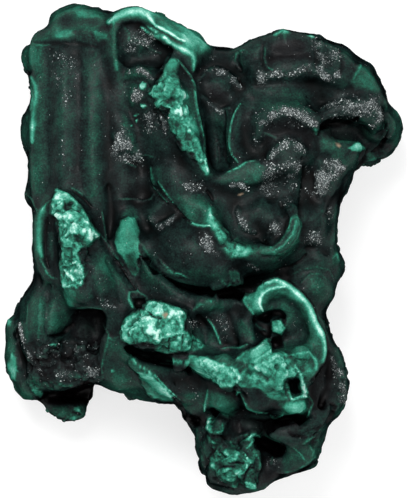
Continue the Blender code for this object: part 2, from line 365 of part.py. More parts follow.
# A cleft is a list of stations (x, y, floor, half width).
CLEFTS = [
    # round the belly
    [(-9.6, -0.4, 29.0, 0.7), (-8.5, -2.0, 27.5, 0.8), (-6.6, -4.3, 26.5, 0.9), (-4.0, -6.2, 25.5, 1.1),
     (-1.0, -7.4, 25.0, 1.2), (2.0, -7.5, 24.0, 1.4), (4.4, -7.0, 23.0, 1.7), (5.8, -7.8, 24.0, 1.2)],
    # under the bloom
    [(-12.4, -15.4, 26.0, 0.7), (-10.0, -17.0, 23.0, 1.1), (-7.0, -18.0, 22.0, 1.2), (-4.0, -18.8, 23.0, 0.9),
     (-2.0, -19.3, 26.0, 0.7)],
    # under the lower mass
    [(0.8, -26.0, 22.0, 0.8), (3.6, -27.3, 19.0, 1.0), (7.0, -27.5, 18.0, 1.0), (10.0, -28.2, 18.0, 1.1),
     (14.0, -27.7, 18.0, 1.3), (17.0, -26.4, 22.0, 0.8)],
    # left of the tongue
    [(-8.4, 13.0, 29.0, 0.6), (-8.0, 10.0, 28.0, 0.7), (-5.8, 7.1, 28.5, 0.8), (-3.2, 4.8, 30.0, 0.8),
     (-0.5, 3.4, 32.0, 0.6)],
    # between the rib and the ledge
    [(-23.6, 6.8, 27.6, 0.6), (-24.0, 4.0, 26.6, 0.8), (-24.0, 0.0, 26.4, 0.8), (-23.4, -3.6, 27.0, 0.6)],
    # between the ledge and the finger
    [(-16.4, 2.8, 28.0, 0.6), (-13.8, -2.2, 27.0, 0.8), (-11.5, -6.0, 28.0, 0.6)],
    # between the hood and the flutes
    [(-12.9, 29.0, 28.0, 0.4), (-12.4, 25.0, 28.0, 0.5), (-11.8, 20.4, 28.4, 0.4)],
    # the tip of the tongue, under the hood
    [(-2.9, 29.2, 31.0, 0.5), (-2.2, 27.2, 30.5, 0.7), (-1.9, 24.8, 31.2, 0.4)],
    # left of the fan's disc
    [(3.9, 22.6, 28.3, 0.5), (3.1, 19.0, 28.0, 0.7), (3.3, 15.6, 28.2, 0.6), (5.0, 13.0, 29.5, 0.4)],
    # under the fan's right ledge
    [(18.4, 19.1, 27.0, 0.5), (21.0, 20.0, 23.0, 0.8), (23.8, 20.3, 24.0, 0.7), (25.6, 19.4, 22.0, 0.6)],
    # beside the ear
    [(29.0, 22.8, 20.0, 0.7), (29.3, 20.2, 17.0, 0.9), (28.6, 17.6, 16.0, 0.9), (26.8, 16.2, 17.0, 0.7)],
    # beside the right flank
    [(18.9, -19.4, 26.0, 0.7), (19.5, -22.4, 22.0, 1.0), (19.2, -25.6, 22.0, 0.8)],
    # round the outer lobe at the lower left
    [(-29.9, -12.2, 15.5, 0.7), (-29.4, -15.6, 15.5, 0.9), (-28.4, -18.8, 15.0, 0.7)],
    # the crevice left of the recess
    [(-24.2, -14.2, 22.0, 0.5), (-22.4, -13.4, 21.0, 0.8), (-20.6, -12.6, 20.0, 1.0)],
    # inside and outside the loop
    [(7.9, -8.6, 31.0, 0.5), (8.3, -11.4, 31.0, 0.5), (8.6, -13.4, 31.5, 0.4)],
    [(9.0, -11.3, 28.0, 0.7), (10.6, -10.9, 27.0, 0.9), (12.8, -10.4, 28.0, 0.7)],
    [(9.6, -4.2, 29.5, 0.7), (13.0, -3.7, 29.5, 0.8), (16.8, -6.0, 26.0, 0.8), (19.5, -10.6, 23.0, 0.7)],
]

# A patch of broken ground is its corners (x, y), its number of crumbs and their mean radius.
CRUMB_PATCHES = [
    ([(-12.0, -7.6), (-8.5, -8.6), (-3.2, -9.4), (-2.6, -11.0), (-1.4, -14.6), (-1.4, -16.4), (-6.0, -16.2),
      (-9.0, -15.2), (-12.6, -13.2)], 22, 1.5),
    ([(5.6, -17.4), (10.4, -14.8), (13.0, -16.4), (17.0, -15.2), (17.8, -19.0), (16.6, -20.6), (13.4, -19.4),
      (12.6, -22.6), (10.0, -22.4), (6.0, -22.6), (1.0, -20.4), (0.0, -17.8)], 26, 1.5),
    ([(-23.4, 9.0), (-21.0, 8.0), (-18.6, 4.8), (-16.4, 2.0), (-18.4, 0.0), (-18.8, -8.6), (-21.0, -9.0),
      (-22.4, -5.0), (-22.4, 0.0), (-23.6, 5.0)], 24, 1.3),
    ([(-4.8, 29.4), (-3.6, 26.0), (-2.4, 21.0), (-0.8, 16.0), (0.4, 12.4), (-1.6, 15.0), (-4.6, 19.0),
      (-6.6, 22.0), (-7.8, 24.8), (-6.0, 26.6)], 10, 1.2),
    ([(1.2, -30.6), (6.6, -30.6), (8.4, -34.0), (8.0, -37.0), (4.0, -37.6), (1.2, -35.4)], 14, 1.5),
    ([(-26.6, -15.4), (-20.6, -15.0), (-16.6, -15.4), (-16.6, -20.0), (-20.0, -21.2),
      (-26.4, -21.2)], 14, 1.5),
    ([(25.4, 13.4), (28.4, 13.8), (29.2, 16.4), (26.6, 16.2)], 6, 1.3),
]


def add_lobe(mesh, x, y, top, half_x, half_y, half_z, turn=0.0, fineness=3):
    """Adds an egg-shaped lump whose highest point is at height top."""
    place = Matrix.Translation((x * MM, y * MM, (top - half_z) * MM))
    place @= Matrix.Rotation(radians(turn), 4, "Z")
    place @= Matrix.Diagonal((half_x * MM, half_y * MM, half_z * MM, 1.0))
    bmesh.ops.create_icosphere(mesh, subdivisions=fineness, radius=1.0, matrix=place)


def skirt(stations):
    """A wider, lower roll that a thin one stands on, so that it reads as a ridge."""
    return [(x, y, top - radius * SKIRT_DROP, radius + SKIRT / radius) for x, y, top, radius in stations]


def add_rolls(mesh, rolls):
    """Adds a tube and its skirt for each roll, on a smooth curve through the stations, with round ends."""
    curve = bpy.data.curves.new("rolls", "CURVE")
    curve.dimensions = "3D"
    curve.bevel_depth = MM
    curve.bevel_resolution = 3
    curve.resolution_u = 6
    curve.use_fill_caps = True
    for stations in rolls + [skirt(stations) for stations in rolls]:
        spline = curve.splines.new("BEZIER")
        spline.bezier_points.add(len(stations) - 1)
        for point, (x, y, top, radius) in zip(spline.bezier_points, stations):
            point.co = (x * MM, y * MM, (top - radius) * MM)
            point.radius = radius
            point.handle_left_type = "AUTO"
            point.handle_right_type = "AUTO"
        for x, y, top, radius in (stations[0], stations[-1]):
            add_lobe(mesh, x, y, top, radius, radius, radius)
    holder = bpy.data.objects.new("rolls", curve)
    bpy.context.scene.collection.objects.link(holder)
    graph = bpy.context.evaluated_depsgraph_get()
    tubes = bpy.data.meshes.new_from_object(holder.evaluated_get(graph))
    mesh.from_mesh(tubes)
    bpy.data.objects.remove(holder)
    bpy.data.curves.remove(curve)
    bpy.data.meshes.remove(tubes)


def add_slab(mesh, corners):
    """Adds a prism whose top runs through the corners (x, y, top), down to SLAB_FOOT."""
    rim = [mesh.verts.new((x * MM, y * MM, (top - SLAB_SINK) * MM)) for x, y, top in corners]
    foot = [mesh.verts.new((x * MM, y * MM, SLAB_FOOT * MM)) for x, y, top in corners]
    lid = mesh.faces.new(rim)
    base = mesh.faces.new(reversed(foot))
    for i in range(len(corners)):
        mesh.faces.new((rim[i], rim[i - 1], foot[i - 1], foot[i]))
    bmesh.ops.triangulate(mesh, faces=[lid, base])


def add_cleft(mesh, stations):
    """Adds a row of tall narrow beads, close enough to merge into one wedge-shaped blade."""
    for (x0, y0, floor0, width0), (x1, y1, floor1, width1) in zip(stations, stations[1:]):
        steps = max(2, round(hypot(x1 - x0, y1 - y0) / CLEFT_STEP))
        for i in range(steps + 1):
            t = i / steps
            floor = floor0 + (floor1 - floor0) * t
            width = width0 + (width1 - width0) * t
            half_z = (MOUTH - floor) / 2
            add_lobe(mesh, x0 + (x1 - x0) * t, y0 + (y1 - y0) * t, MOUTH, width, width, half_z, fineness=2)


def new_object(name, mesh):
    """Turns a bmesh into an object in the scene."""
    bmesh.ops.recalc_face_normals(mesh, faces=mesh.faces)
    data = bpy.data.meshes.new(name)
    mesh.to_mesh(data)
    mesh.free()
    obj = bpy.data.objects.new(name, data)
    bpy.context.scene.collection.objects.link(obj)
    return obj


def settle(obj):
    """Replaces the object's mesh by the result of its modifiers."""
    graph = bpy.context.evaluated_depsgraph_get()
    shaped = bpy.data.meshes.new_from_object(obj.evaluated_get(graph))
    obj.modifiers.clear()
    worn = obj.data
    obj.data = shaped
    bpy.data.meshes.remove(worn)


def fuse(obj, offset=0.0):
    """Moves the surface along its normals, then fuses everything that overlaps into one skin."""
    move = obj.modifiers.new("move", "DISPLACE")
    move.mid_level = 0.0
    move.strength = offset * MM
    skin = obj.modifiers.new("fuse", "REMESH")
    skin.mode = "VOXEL"
    skin.voxel_size = VOXEL * MM
    settle(obj)


def inside(x, y, corners):
    """Whether the point lies inside the polygon."""
    hit = False
    for (xa, ya), (xb, yb) in zip(corners, corners[-1:] + corners[:-1]):
        if (ya > y) != (yb > y) and x < (xb - xa) * (y - ya) / (yb - ya) + xa:
            hit = not hit
    return hit


def add_crumbs(mesh, skin, dice):
    """Scatters angular crumbs over the broken patches, each about half sunk into the skin."""
    for corners, count, mean in CRUMB_PATCHES:
        xs = [x for x, y in corners]
        ys = [y for x, y in corners]
        placed = 0
        while placed < count:
            x = dice.uniform(min(xs), max(xs))
            y = dice.uniform(min(ys), max(ys))
            if not inside(x, y, corners):
                continue
            spot = skin.ray_cast(Vector((x, y, MOUTH)) * MM, Vector((0, 0, -1)))[0]
            radius = mean * dice.uniform(*CRUMB_SIZES)
            turn = Euler([dice.uniform(0, pi) for axis in range(3)]).to_matrix().to_4x4()
            half_sizes = [radius, radius * dice.uniform(*CRUMB_WIDTHS), radius * dice.uniform(*CRUMB_DEPTHS)]
            place = Matrix.Translation(spot + Vector((0, 0, radius * CRUMB_RISE * MM))) @ turn
            place @= Matrix.Diagonal([half * MM for half in half_sizes] + [1.0])
            bmesh.ops.create_icosphere(mesh, subdivisions=1, radius=1.0, matrix=place)
            placed += 1


def add_side_lumps(mesh, skin, dice):
    """Sets lumps all round the sides, wherever they stay inside the outline."""
    for i in range(SIDE_LUMPS):
        angle = 2 * pi * i / SIDE_LUMPS
        height = dice.uniform(*SIDE_HEIGHTS)
        out = Vector((sin(angle), cos(angle), 0))
        spot = skin.ray_cast(out * LENGTH * MM + Vector((0, 0, height * MM)), -out)[0]
        radius = dice.uniform(*SIDE_RADII)
        rise = dice.uniform(*SIDE_RISES)
        across = Vector((out.y, -out.x, 0)) * radius * SIDE_TIPS
        tips = [spot / MM + out * rise + across * side for side in (-1, 0, 1)]
        roofs = [skin.ray_cast(Vector((tip.x, tip.y, MOUTH)) * MM, Vector((0, 0, -1)))[0] for tip in tips]
        if None not in roofs:
            middle = spot / MM - out * (radius - rise)
            add_lobe(mesh, middle.x, middle.y, middle.z + radius, radius, radius, radius)


def cut(stone, cutter):
    """Takes the cutter's shape out of the stone."""
    cutter.hide_render = True
    cutter.display_type = "WIRE"
    difference = stone.modifiers.new("cut", "BOOLEAN")
    difference.operation = "DIFFERENCE"
    difference.solver = "EXACT"
    difference.object = cutter
    settle(stone)
    bpy.data.objects.remove(cutter)


def drop_splinters(stone):
    """Keeps only the largest connected piece of the stone."""
    mesh = bmesh.new()
    mesh.from_mesh(stone.data)
    unseen = set(mesh.verts)
    pieces = []
    while unseen:
        piece = set()
        front = [unseen.pop()]
        while front:
            vert = front.pop()
            piece.add(vert)
            near = [edge.other_vert(vert) for edge in vert.link_edges]
            front += [other for other in near if other in unseen]
            unseen.difference_update(near)
        pieces.append(piece)
    pieces.sort(key=len)
    for splinter in pieces[:-1]:
        bmesh.ops.delete(mesh, geom=list(splinter), context="VERTS")
    mesh.to_mesh(stone.data)
    mesh.free()


def malachite():
    """Dark blue-green stone with a satin surface."""
    material = bpy.data.materials.new("malachite")
    material.use_nodes = True
    shader = material.node_tree.nodes["Principled BSDF"]
    shader.inputs["Base Color"].default_value = (0.030, 0.068, 0.056, 1.0)
    shader.inputs["Roughness"].default_value = 0.42
    shader.inputs["Metallic"].default_value = 0.0
    return material


def finish(stone):
    """Flattens the back, sizes the stone to its driving dimensions and puts the origin under its middle."""
    for vert in stone.data.vertices:
        if vert.co.z < BACK_BAND * MM:
            vert.co.z = 0.0
    corners = [Vector(corner) for corner in stone.bound_box]
    low = Vector([min(corner[axis] for corner in corners) for axis in range(3)])
    high = Vector([max(corner[axis] for corner in corners) for axis in range(3)])
    size = high - low
    scale = Matrix.Diagonal((WIDTH * MM / size.x, LENGTH * MM / size.y, THICKNESS * MM / size.z, 1.0))
    foot = Vector(((low.x + high.x) / 2, (low.y + high.y) / 2, low.z))
    stone.data.transform(scale @ Matrix.Translation(-foot))
    for face in stone.data.polygons:
        face.use_smooth = face.normal.z > -0.99
    stone.data.materials.append(malachite())


def main():
    for obj in list(bpy.data.objects):
        bpy.data.objects.remove(obj)
    body = bmesh.new()
    for lobe in CORE_LOBES:
        add_lobe(body, *lobe, fineness=4)
    for lobe in RIM_LOBES + FACE_LOBES:
        add_lobe(body, *lobe)
    for corners in SLABS:
        add_slab(body, corners)
    add_rolls(body, ROLLS)
    stone = new_object("malachite", body)
    fuse(stone)
    fuse(stone, COAT)
    fuse(stone, -COAT)

    graph = bpy.context.evaluated_depsgraph_get()
    skin = BVHTree.FromObject(stone, graph)
    dice = Random(SEED)
    rough = bmesh.new()
    add_crumbs(rough, skin, dice)
    add_side_lumps(rough, skin, dice)
    rough.from_mesh(stone.data)
    rough.to_mesh(stone.data)
    rough.free()
    fuse(stone)

    voids = bmesh.new()
    for x, y, floor, half_x, half_y, turn in HOLLOWS:
        add_lobe(voids, x, y, MOUTH, half_x, half_y, (MOUTH - floor) / 2, turn)
    for stations in CLEFTS:
        add_cleft(voids, stations)
    hollows = new_object("hollows", voids)
    fuse(hollows)
    cut(stone, hollows)
    fuse(stone)
    drop_splinters(stone)

    block = bmesh.new()
    bmesh.ops.create_cube(block, size=2 * LENGTH * MM, matrix=Matrix.Translation((0, 0, -LENGTH * MM)))
    cut(stone, new_object("ground", block))
    soften = stone.modifiers.new("soften", "SMOOTH")
    soften.factor = 0.5
    soften.iterations = SMOOTH_STEPS
    thin = stone.modifiers.new("thin", "DECIMATE")
    thin.ratio = TRIANGLES / sum(len(face.vertices) - 2 for face in stone.data.polygons)
    settle(stone)
    finish(stone)


main()
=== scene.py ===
"""The looks of the malachite specimen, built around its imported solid.

The stone is one dense mesh grown from the CAD solid. Folds, rims, cracks and broken ground are raised
and cut along named marks, and the same marks colour it. A crust of tiny crystals sits on the dark lobes.

Marks are in millimetres in the solid's own frame, which the camera looks straight down on: +X to the
right and +Y to the top of the picture. Nearly all of this file is those marks: no two are alike, so
they are listed one by one, area by area, and the code after them is short.
"""

from math import pi

import bmesh
import bpy
import numpy as np
from mathutils import Matrix, Vector


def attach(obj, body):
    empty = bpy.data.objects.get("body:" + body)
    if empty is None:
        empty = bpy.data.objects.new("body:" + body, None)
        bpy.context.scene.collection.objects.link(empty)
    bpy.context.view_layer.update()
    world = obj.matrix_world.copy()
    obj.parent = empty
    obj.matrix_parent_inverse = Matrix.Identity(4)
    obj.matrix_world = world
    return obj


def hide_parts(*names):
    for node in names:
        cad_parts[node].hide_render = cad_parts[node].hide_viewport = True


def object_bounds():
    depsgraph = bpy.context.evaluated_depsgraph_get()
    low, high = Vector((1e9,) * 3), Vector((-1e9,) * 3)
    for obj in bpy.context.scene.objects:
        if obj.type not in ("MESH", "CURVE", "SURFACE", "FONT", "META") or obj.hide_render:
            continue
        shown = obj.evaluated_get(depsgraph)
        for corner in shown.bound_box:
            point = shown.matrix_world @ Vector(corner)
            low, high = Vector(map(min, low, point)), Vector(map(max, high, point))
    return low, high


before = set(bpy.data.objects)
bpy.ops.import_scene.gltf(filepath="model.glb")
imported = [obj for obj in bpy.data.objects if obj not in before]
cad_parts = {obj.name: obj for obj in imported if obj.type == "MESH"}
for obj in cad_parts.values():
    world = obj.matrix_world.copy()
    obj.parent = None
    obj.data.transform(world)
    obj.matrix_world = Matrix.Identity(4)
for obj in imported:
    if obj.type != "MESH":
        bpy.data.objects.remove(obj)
cad_low, cad_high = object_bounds()

MM = 0.001
NODE = "malachite"

# The dense mesh
GRAIN = 0.27  # mm, the voxel that the solid is remeshed with
SMOOTHING = 20  # passes that round the solid's own facets
SIDE_SMOOTHING = 60  # further passes on the sides, whose facets are coarser
SIDE_STEPS = 4  # steps in which that smoothing fades in
TRIANGLES = 196000
RELIEF = 1.3  # what every mark's rise is multiplied by
FOOT = (0.2, 1.5)  # mm above the back between which the relief fades in, so that the back stays flat
FLAT_BELOW = 0.15  # mm, anything lower than this lies on the back

# The crust of crystals
CRYSTALS = 24500
CRYSTAL_RADII = (0.05, 0.15)  # mm
CROWDING = 2.2  # the higher, the more the crystals keep to the thick of their marks
HEADROOM = 0.25  # mm, left free under the top of the solid's box
SEED = 7

# The picture
PICTURE_HEIGHT = 498  # pixels
SCALE = 0.16  # mm of stone a pixel
LENS = 1000.0  # mm, so long that the view is almost parallel
SENSOR = 36.0  # mm
FOCUS_HEIGHT = 27.0  # mm, the height at which the scale holds


# Marks. A line is (half width, strength, rise, [(x, y), ...]) and a patch is the same with the softness of
# its edge in place of the half width. Rise is how far the mark stands out of the stone, negative for a
# groove, and is left out where the mark is only colour.

GREEN_PATCHES = [
    # the cap and the brow
    (0.8, 0.78, [(-25, 36), (-23.5, 38.2), (-20, 39.6), (-16, 38.2), (-14.8, 36.5), (-17, 35), (-20, 35),
        (-24, 34.7)]),
    (0.5, 0.95, 0.1, [(-23.5, 34.7), (-21, 35), (-20.3, 34), (-21.5, 33.4), (-24, 33.5)]),
    (0.4, 0.95, 0.1, [(-17.6, 34.9), (-15.5, 34.7), (-14.8, 33.4), (-16.8, 33.3)]),
    (1.0, 0.85, [(-29.6, 31), (-27, 33.6), (-24, 34.6), (-25.5, 31.5), (-27, 28.5), (-29, 28.6)]),
    (0.6, 0.6, [(-29.5, 18), (-28.4, 21.6), (-27.4, 22), (-27.2, 17), (-28.4, 15.4)]),
    (0.8, 0.25, [(-25, 35), (-16, 35), (-16, 32.5), (-25, 32.5)]),
    # the flutes
    (1.6, 0.22, [(-27, 31), (-20, 30), (-15.6, 30.5), (-15.6, 8), (-19, 8.4), (-28.6, 8), (-28.6, 16),
        (-27, 22)]),
    (0.8, 0.45, [(-20.8, 10), (-17.4, 10), (-16.4, 7.4), (-17.4, 6.2), (-19.2, 8)]),
    (1.0, 0.3, [(-25.6, 12), (-27, 24), (-25.6, 30), (-24.4, 28), (-24.4, 12)]),
    (1.0, 0.22, [(-10.5, 20), (-7.6, 20), (-7.6, 13), (-10.5, 13)]),
    (1.0, 0.12, [(-22.5, 22), (-19, 22), (-19, 13), (-22.5, 13)]),
    # the hood
    (0.6, 1.0, [(-15.4, 36.4), (-14, 39), (-11, 39.8), (-7, 38.6), (-2, 36.6), (2.6, 34), (1.4, 32),
        (-1, 30.6), (-2.4, 32.4), (-8, 36.2), (-11, 37.2), (-14, 36.2)]),
    (0.6, 0.6, [(-12.8, 35.4), (-11, 35.6), (-10.4, 33), (-12.6, 33)]),
    (0.6, 0.25, [(-12.8, 31.6), (-7.6, 31.4), (-7, 30), (-12.8, 30.2)]),
    (1.0, 0.56, [(-13, 28.4), (-8, 29), (-7.6, 24), (-8.6, 21.6), (-12.4, 22)]),
    (0.4, 0.75, [(-9.8, 35.4), (-8, 33.8), (-6, 32.8), (-4.6, 32), (-3.4, 31.2), (-2.4, 29.6), (-1.6, 28.8),
        (-1.4, 30.4), (-2.6, 32), (-5.4, 33.8), (-8.4, 35.8)]),
    (0.8, 0.25, [(-13.4, 35), (-8, 34), (-7, 30.6), (-13, 30)]),
    # the tongue
    (0.4, 0.95, [(-3.6, 25), (-2.2, 24.4), (-1.2, 21), (-0.5, 18), (-1.6, 17.8), (-3.4, 20), (-4.2, 22.6)]),
    (0.4, 0.4, [(-4.2, 29.2), (-2, 26.8), (-1.4, 24.6), (-2.6, 24.2), (-3.6, 25.6), (-4.2, 27.4)]),
    (0.6, 0.75, [(-3.8, 6.4), (-4.2, 8.4), (-2.6, 8.8), (-0.6, 8.8), (1, 8.2), (1.7, 6), (1.4, 3.6), (0, 3.5),
        (-2, 4.2)]),
    (0.5, 0.35, [(-8.2, 12.6), (-7, 14), (-6.2, 9.4), (-3.6, 8), (-4.4, 6.8), (-7, 9.6)]),
    # the fan
    (0.8, 0.48, [(6, 24.5), (8, 25.6), (11, 26.2), (14, 26.2), (16, 25.9), (18, 24), (18.6, 22), (14, 22.6),
        (11, 22), (8, 22.4)]),
    (0.4, 0.85, 0.1, [(23.9, 26.6), (25.2, 29.7), (26.8, 28.8), (27.8, 27), (28.6, 25.2), (27.8, 24.8),
        (26, 25.6), (24.6, 25.4)]),
    (0.6, 0.55, [(21.4, 32.6), (23.6, 31.6), (24.8, 30), (23.6, 29.8), (22, 31)]),
    (0.6, 0.5, [(29.9, 23.4), (31.4, 22.4), (32.2, 20), (31.6, 17), (30.4, 16.2), (30.2, 19)]),
    (0.4, 0.75, 0.1, [(18.6, 17.2), (20, 18.1), (21, 17.4), (21.8, 16), (19, 15.4)]),
    (0.8, 0.3, [(17, 15.4), (21.6, 16.2), (25, 15.6), (24.4, 13), (22.8, 11), (17.4, 12.6)]),
    (0.6, 0.45, [(19, 19.4), (22.5, 19.8), (25.5, 20.3), (28.4, 19.4), (28.8, 17.6), (28, 16.2), (24.6, 17),
        (20.6, 17.6)]),
    (0.8, 0.62, [(1.2, 22), (3.8, 21.6), (4, 13.4), (1.8, 12.6), (1.4, 17)]),
    (0.6, 0.5, [(19.4, 19), (22.4, 19.4), (26, 19.4), (26.4, 17.4), (22, 17)]),
    (0.5, 0.45, [(18.8, 18.8), (22, 19.4), (25.6, 19.6), (27, 18), (24, 17.2), (20, 17.2)]),
    # the plate, the swirl and what lies under them
    (0.4, 0.6, 0.1, [(1.6, 10.8), (3.6, 12), (5.6, 12.9), (7, 13.7), (9, 14.1), (10.2, 13), (9, 10.8),
        (7.4, 10.2), (5, 10.8), (3, 10.2)]),
    (0.3, 0.8, 0.1, [(9.2, 0.5), (10.6, 0.2), (12.2, 1.8), (13.6, 3.4), (14, 5.4), (15.4, 5.4), (16.1, 3.4),
        (15.5, 0.8), (14.2, -0.9), (12.6, -1.4), (10.6, -1), (9.2, -0.7)]),
    (0.5, 0.6, [(1.8, 9.4), (3.4, 8.6), (4.4, 5.4), (6.4, 2.4), (8.6, 0.8), (9, -0.6), (6.2, -0.6), (4, 2.4),
        (2.4, 5)]),
    (0.8, 0.5, [(10.6, -1.4), (14.6, -0.4), (16, 1.2), (16.2, -1.6), (14.6, -2.4), (12.4, -3.4),
        (10.6, -3.2)]),
    (0.8, 0.5, [(16.6, -4.4), (19.6, -4.4), (20.4, -6.6), (19.4, -8.4), (17.6, -8.2)]),
    (0.8, 0.3, [(13.6, -3.6), (17, -2.2), (21, -2.6), (22.4, -4), (20.4, -8), (18, -8)]),
    (0.7, 0.5, [(20.8, 7.4), (22.2, 6.4), (22, 0), (23, -3), (20.6, -2.4), (20.6, 2)]),
    (0.8, 0.22, [(5, 13), (10, 13), (10, 8), (5, 8)]),
    # the belly
    (0.8, 0.25, [(-10, 0.4), (-9, 0.6), (-6.4, -2.6), (-2.4, -5), (-1, -6.4), (-4, -5.4), (-7.6, -2.8),
        (-9.4, -1.2)]),
    (0.6, 0.45, [(-10, -1.6), (-8.6, -2.6), (-7.4, -5), (-8, -7.4), (-10, -6.4)]),
    (0.8, 0.4, [(-6, -3), (-3, -4.6), (0, -5.4), (4, -5.2), (6, -4), (4, -3.4), (-1, -3.2)]),
    # the finger
    (0.3, 0.95, [(-13, 5), (-12.7, 6.2), (-11.6, 6.8), (-10.4, 6.4), (-10.1, 4.8), (-11.2, 4.9), (-12, 5.2)]),
    # the ledge
    (0.8, 0.75, [(-17.4, -0.6), (-15.8, 0.4), (-13.8, -2.6), (-12.6, -6), (-12.4, -9), (-14.2, -6),
        (-15, -4.4), (-17, -3)]),
    (0.8, 0.3, [(-19, -3.4), (-16, -3.6), (-15.4, -8.4), (-18.8, -8.6)]),
    # the lower left
    (1.2, 0.56, [(-27, -6), (-22.6, -5), (-21.8, -11), (-23, -13.4), (-28, -14), (-29.8, -11)]),
    (0.5, 0.7, [(-31.8, -17), (-31.6, -13), (-30.6, -10.4), (-30, -16), (-29.4, -22), (-30, -24.2),
        (-31.2, -21.6)]),
    (0.5, 0.65, 0.1, [(-29.4, -22), (-28.4, -20.6), (-25, -21.1), (-22, -21.5), (-20.6, -21.9), (-24, -22.7),
        (-26.4, -22.8), (-27.6, -24.8), (-29.6, -24)]),
    (0.3, 0.7, 0.1, [(-21.6, -19.6), (-20, -19.4), (-19.2, -20.6), (-21, -20.8)]),
    (0.5, 0.35, [(-25.4, -25.8), (-22, -25), (-18.6, -25.6), (-18.4, -27), (-21, -28.2), (-24, -27)]),
    (0.8, 0.7, [(-19.8, -11.4), (-16.4, -11.6), (-16.4, -14.4), (-19.6, -14.4)]),
    (0.8, 0.42, [(-25, -6), (-22.4, -5.6), (-21.6, -11), (-23, -13), (-24.8, -13)]),
    (0.5, 0.4, [(-20, -10.6), (-16.2, -10.6), (-16.4, -14), (-20.4, -14)]),
    # the wedge
    (0.5, 0.68, [(-15.5, -14.2), (-13.6, -14.4), (-12, -16), (-10.4, -18), (-10, -19.6), (-10, -21),
        (-9, -23), (-8.6, -24.8), (-12, -23.8), (-16.4, -21.8), (-15.8, -18)]),
    (0.6, 0.68, [(-3.6, -25.4), (-2.6, -22.6), (0.2, -22.4), (0.4, -26.2), (-2, -26.4)]),
    (0.7, 0.4, [(-16.6, -22), (-12, -24), (-9, -25), (-7, -24.6), (-9, -23), (-12, -22)]),
    # the dark panel
    (0.6, 0.95, [(-1.8, -12.6), (1.4, -12.6), (2.6, -15), (2.4, -17.2), (-0.8, -16.4)]),
    (0.6, 0.8, [(5.4, -11), (6.6, -11.4), (8.8, -14.2), (8, -15.2), (6, -13.4)]),
    (0.6, 0.45, [(0.6, -8.8), (3.4, -9), (3.4, -10.6), (1, -10.4)]),
    (0.5, 0.6, [(2.6, -16), (6.6, -16), (5.6, -17.2), (3, -17.4)]),
    # the loop
    (0.5, 0.95, [(6.4, -8), (8.4, -6.4), (11.8, -4.8), (15, -6.6), (18, -10.6), (19.8, -15), (19.4, -19),
        (17.4, -20.4), (16.4, -19), (14.2, -16.4), (13.6, -13.6), (13.2, -10.4), (11.6, -9.6), (8.6, -11)]),
    (1.0, 0.6, [(12.6, -8.4), (15, -8), (17.4, -11), (18, -14.4), (14, -15), (13.6, -11)]),
    # the lower mass
    (0.5, 0.9, [(0.4, -17.2), (5.6, -17), (10.8, -15.6), (13.4, -15), (18, -15.4), (19, -18.6), (17, -20.6),
        (17, -26.6), (12.4, -27), (12, -24.4), (9, -22.4), (5.6, -22), (2, -21.6), (-1.6, -19.6)]),
    (0.25, 0.98, [(0.7, -22.5), (1.6, -22.6), (4.6, -23.4), (6, -25.4), (4.2, -27.3), (3.4, -26.4),
        (1.4, -25.2), (0.7, -25.2)]),
    (0.3, 0.8, 0.1, [(0.7, -26.8), (1.8, -26.7), (3.5, -28), (3.3, -29.6), (1.4, -29.5), (0.6, -28.4)]),
    (0.8, 0.25, [(7, -23), (12, -23), (12, -26), (7, -26)]),
    # the bottom lobe and the facets beside it
    (0.5, 0.6, [(0.8, -33), (1, -30), (3, -31), (6.6, -29.6), (8.4, -29.4), (8, -31), (9.5, -34.4),
        (9.1, -36.6), (8.6, -38.8), (5, -38.4), (3, -37), (1.2, -35.4)]),
    (0.4, 0.5, 0.1, [(13.4, -31.6), (15.4, -31), (17.4, -31.4), (18.2, -32.8), (17.4, -34), (15.2, -35.3),
        (13.1, -35.9), (13, -34)]),
    (0.6, 0.6, [(15.6, -31), (17, -29.4), (20, -28.2), (19.6, -31), (18.8, -35.2), (16.4, -36.2), (18, -34)]),
    (0.6, 0.4, [(-1.8, -28.8), (0.4, -28.6), (0.8, -31), (0.4, -35), (-0.6, -34.6), (-1.2, -31)]),
    # the right flank
    (0.7, 0.45, [(20.4, -14), (22, -16), (23.4, -20), (23.4, -25), (21, -28), (21.4, -23), (21.6, -19)]),
]

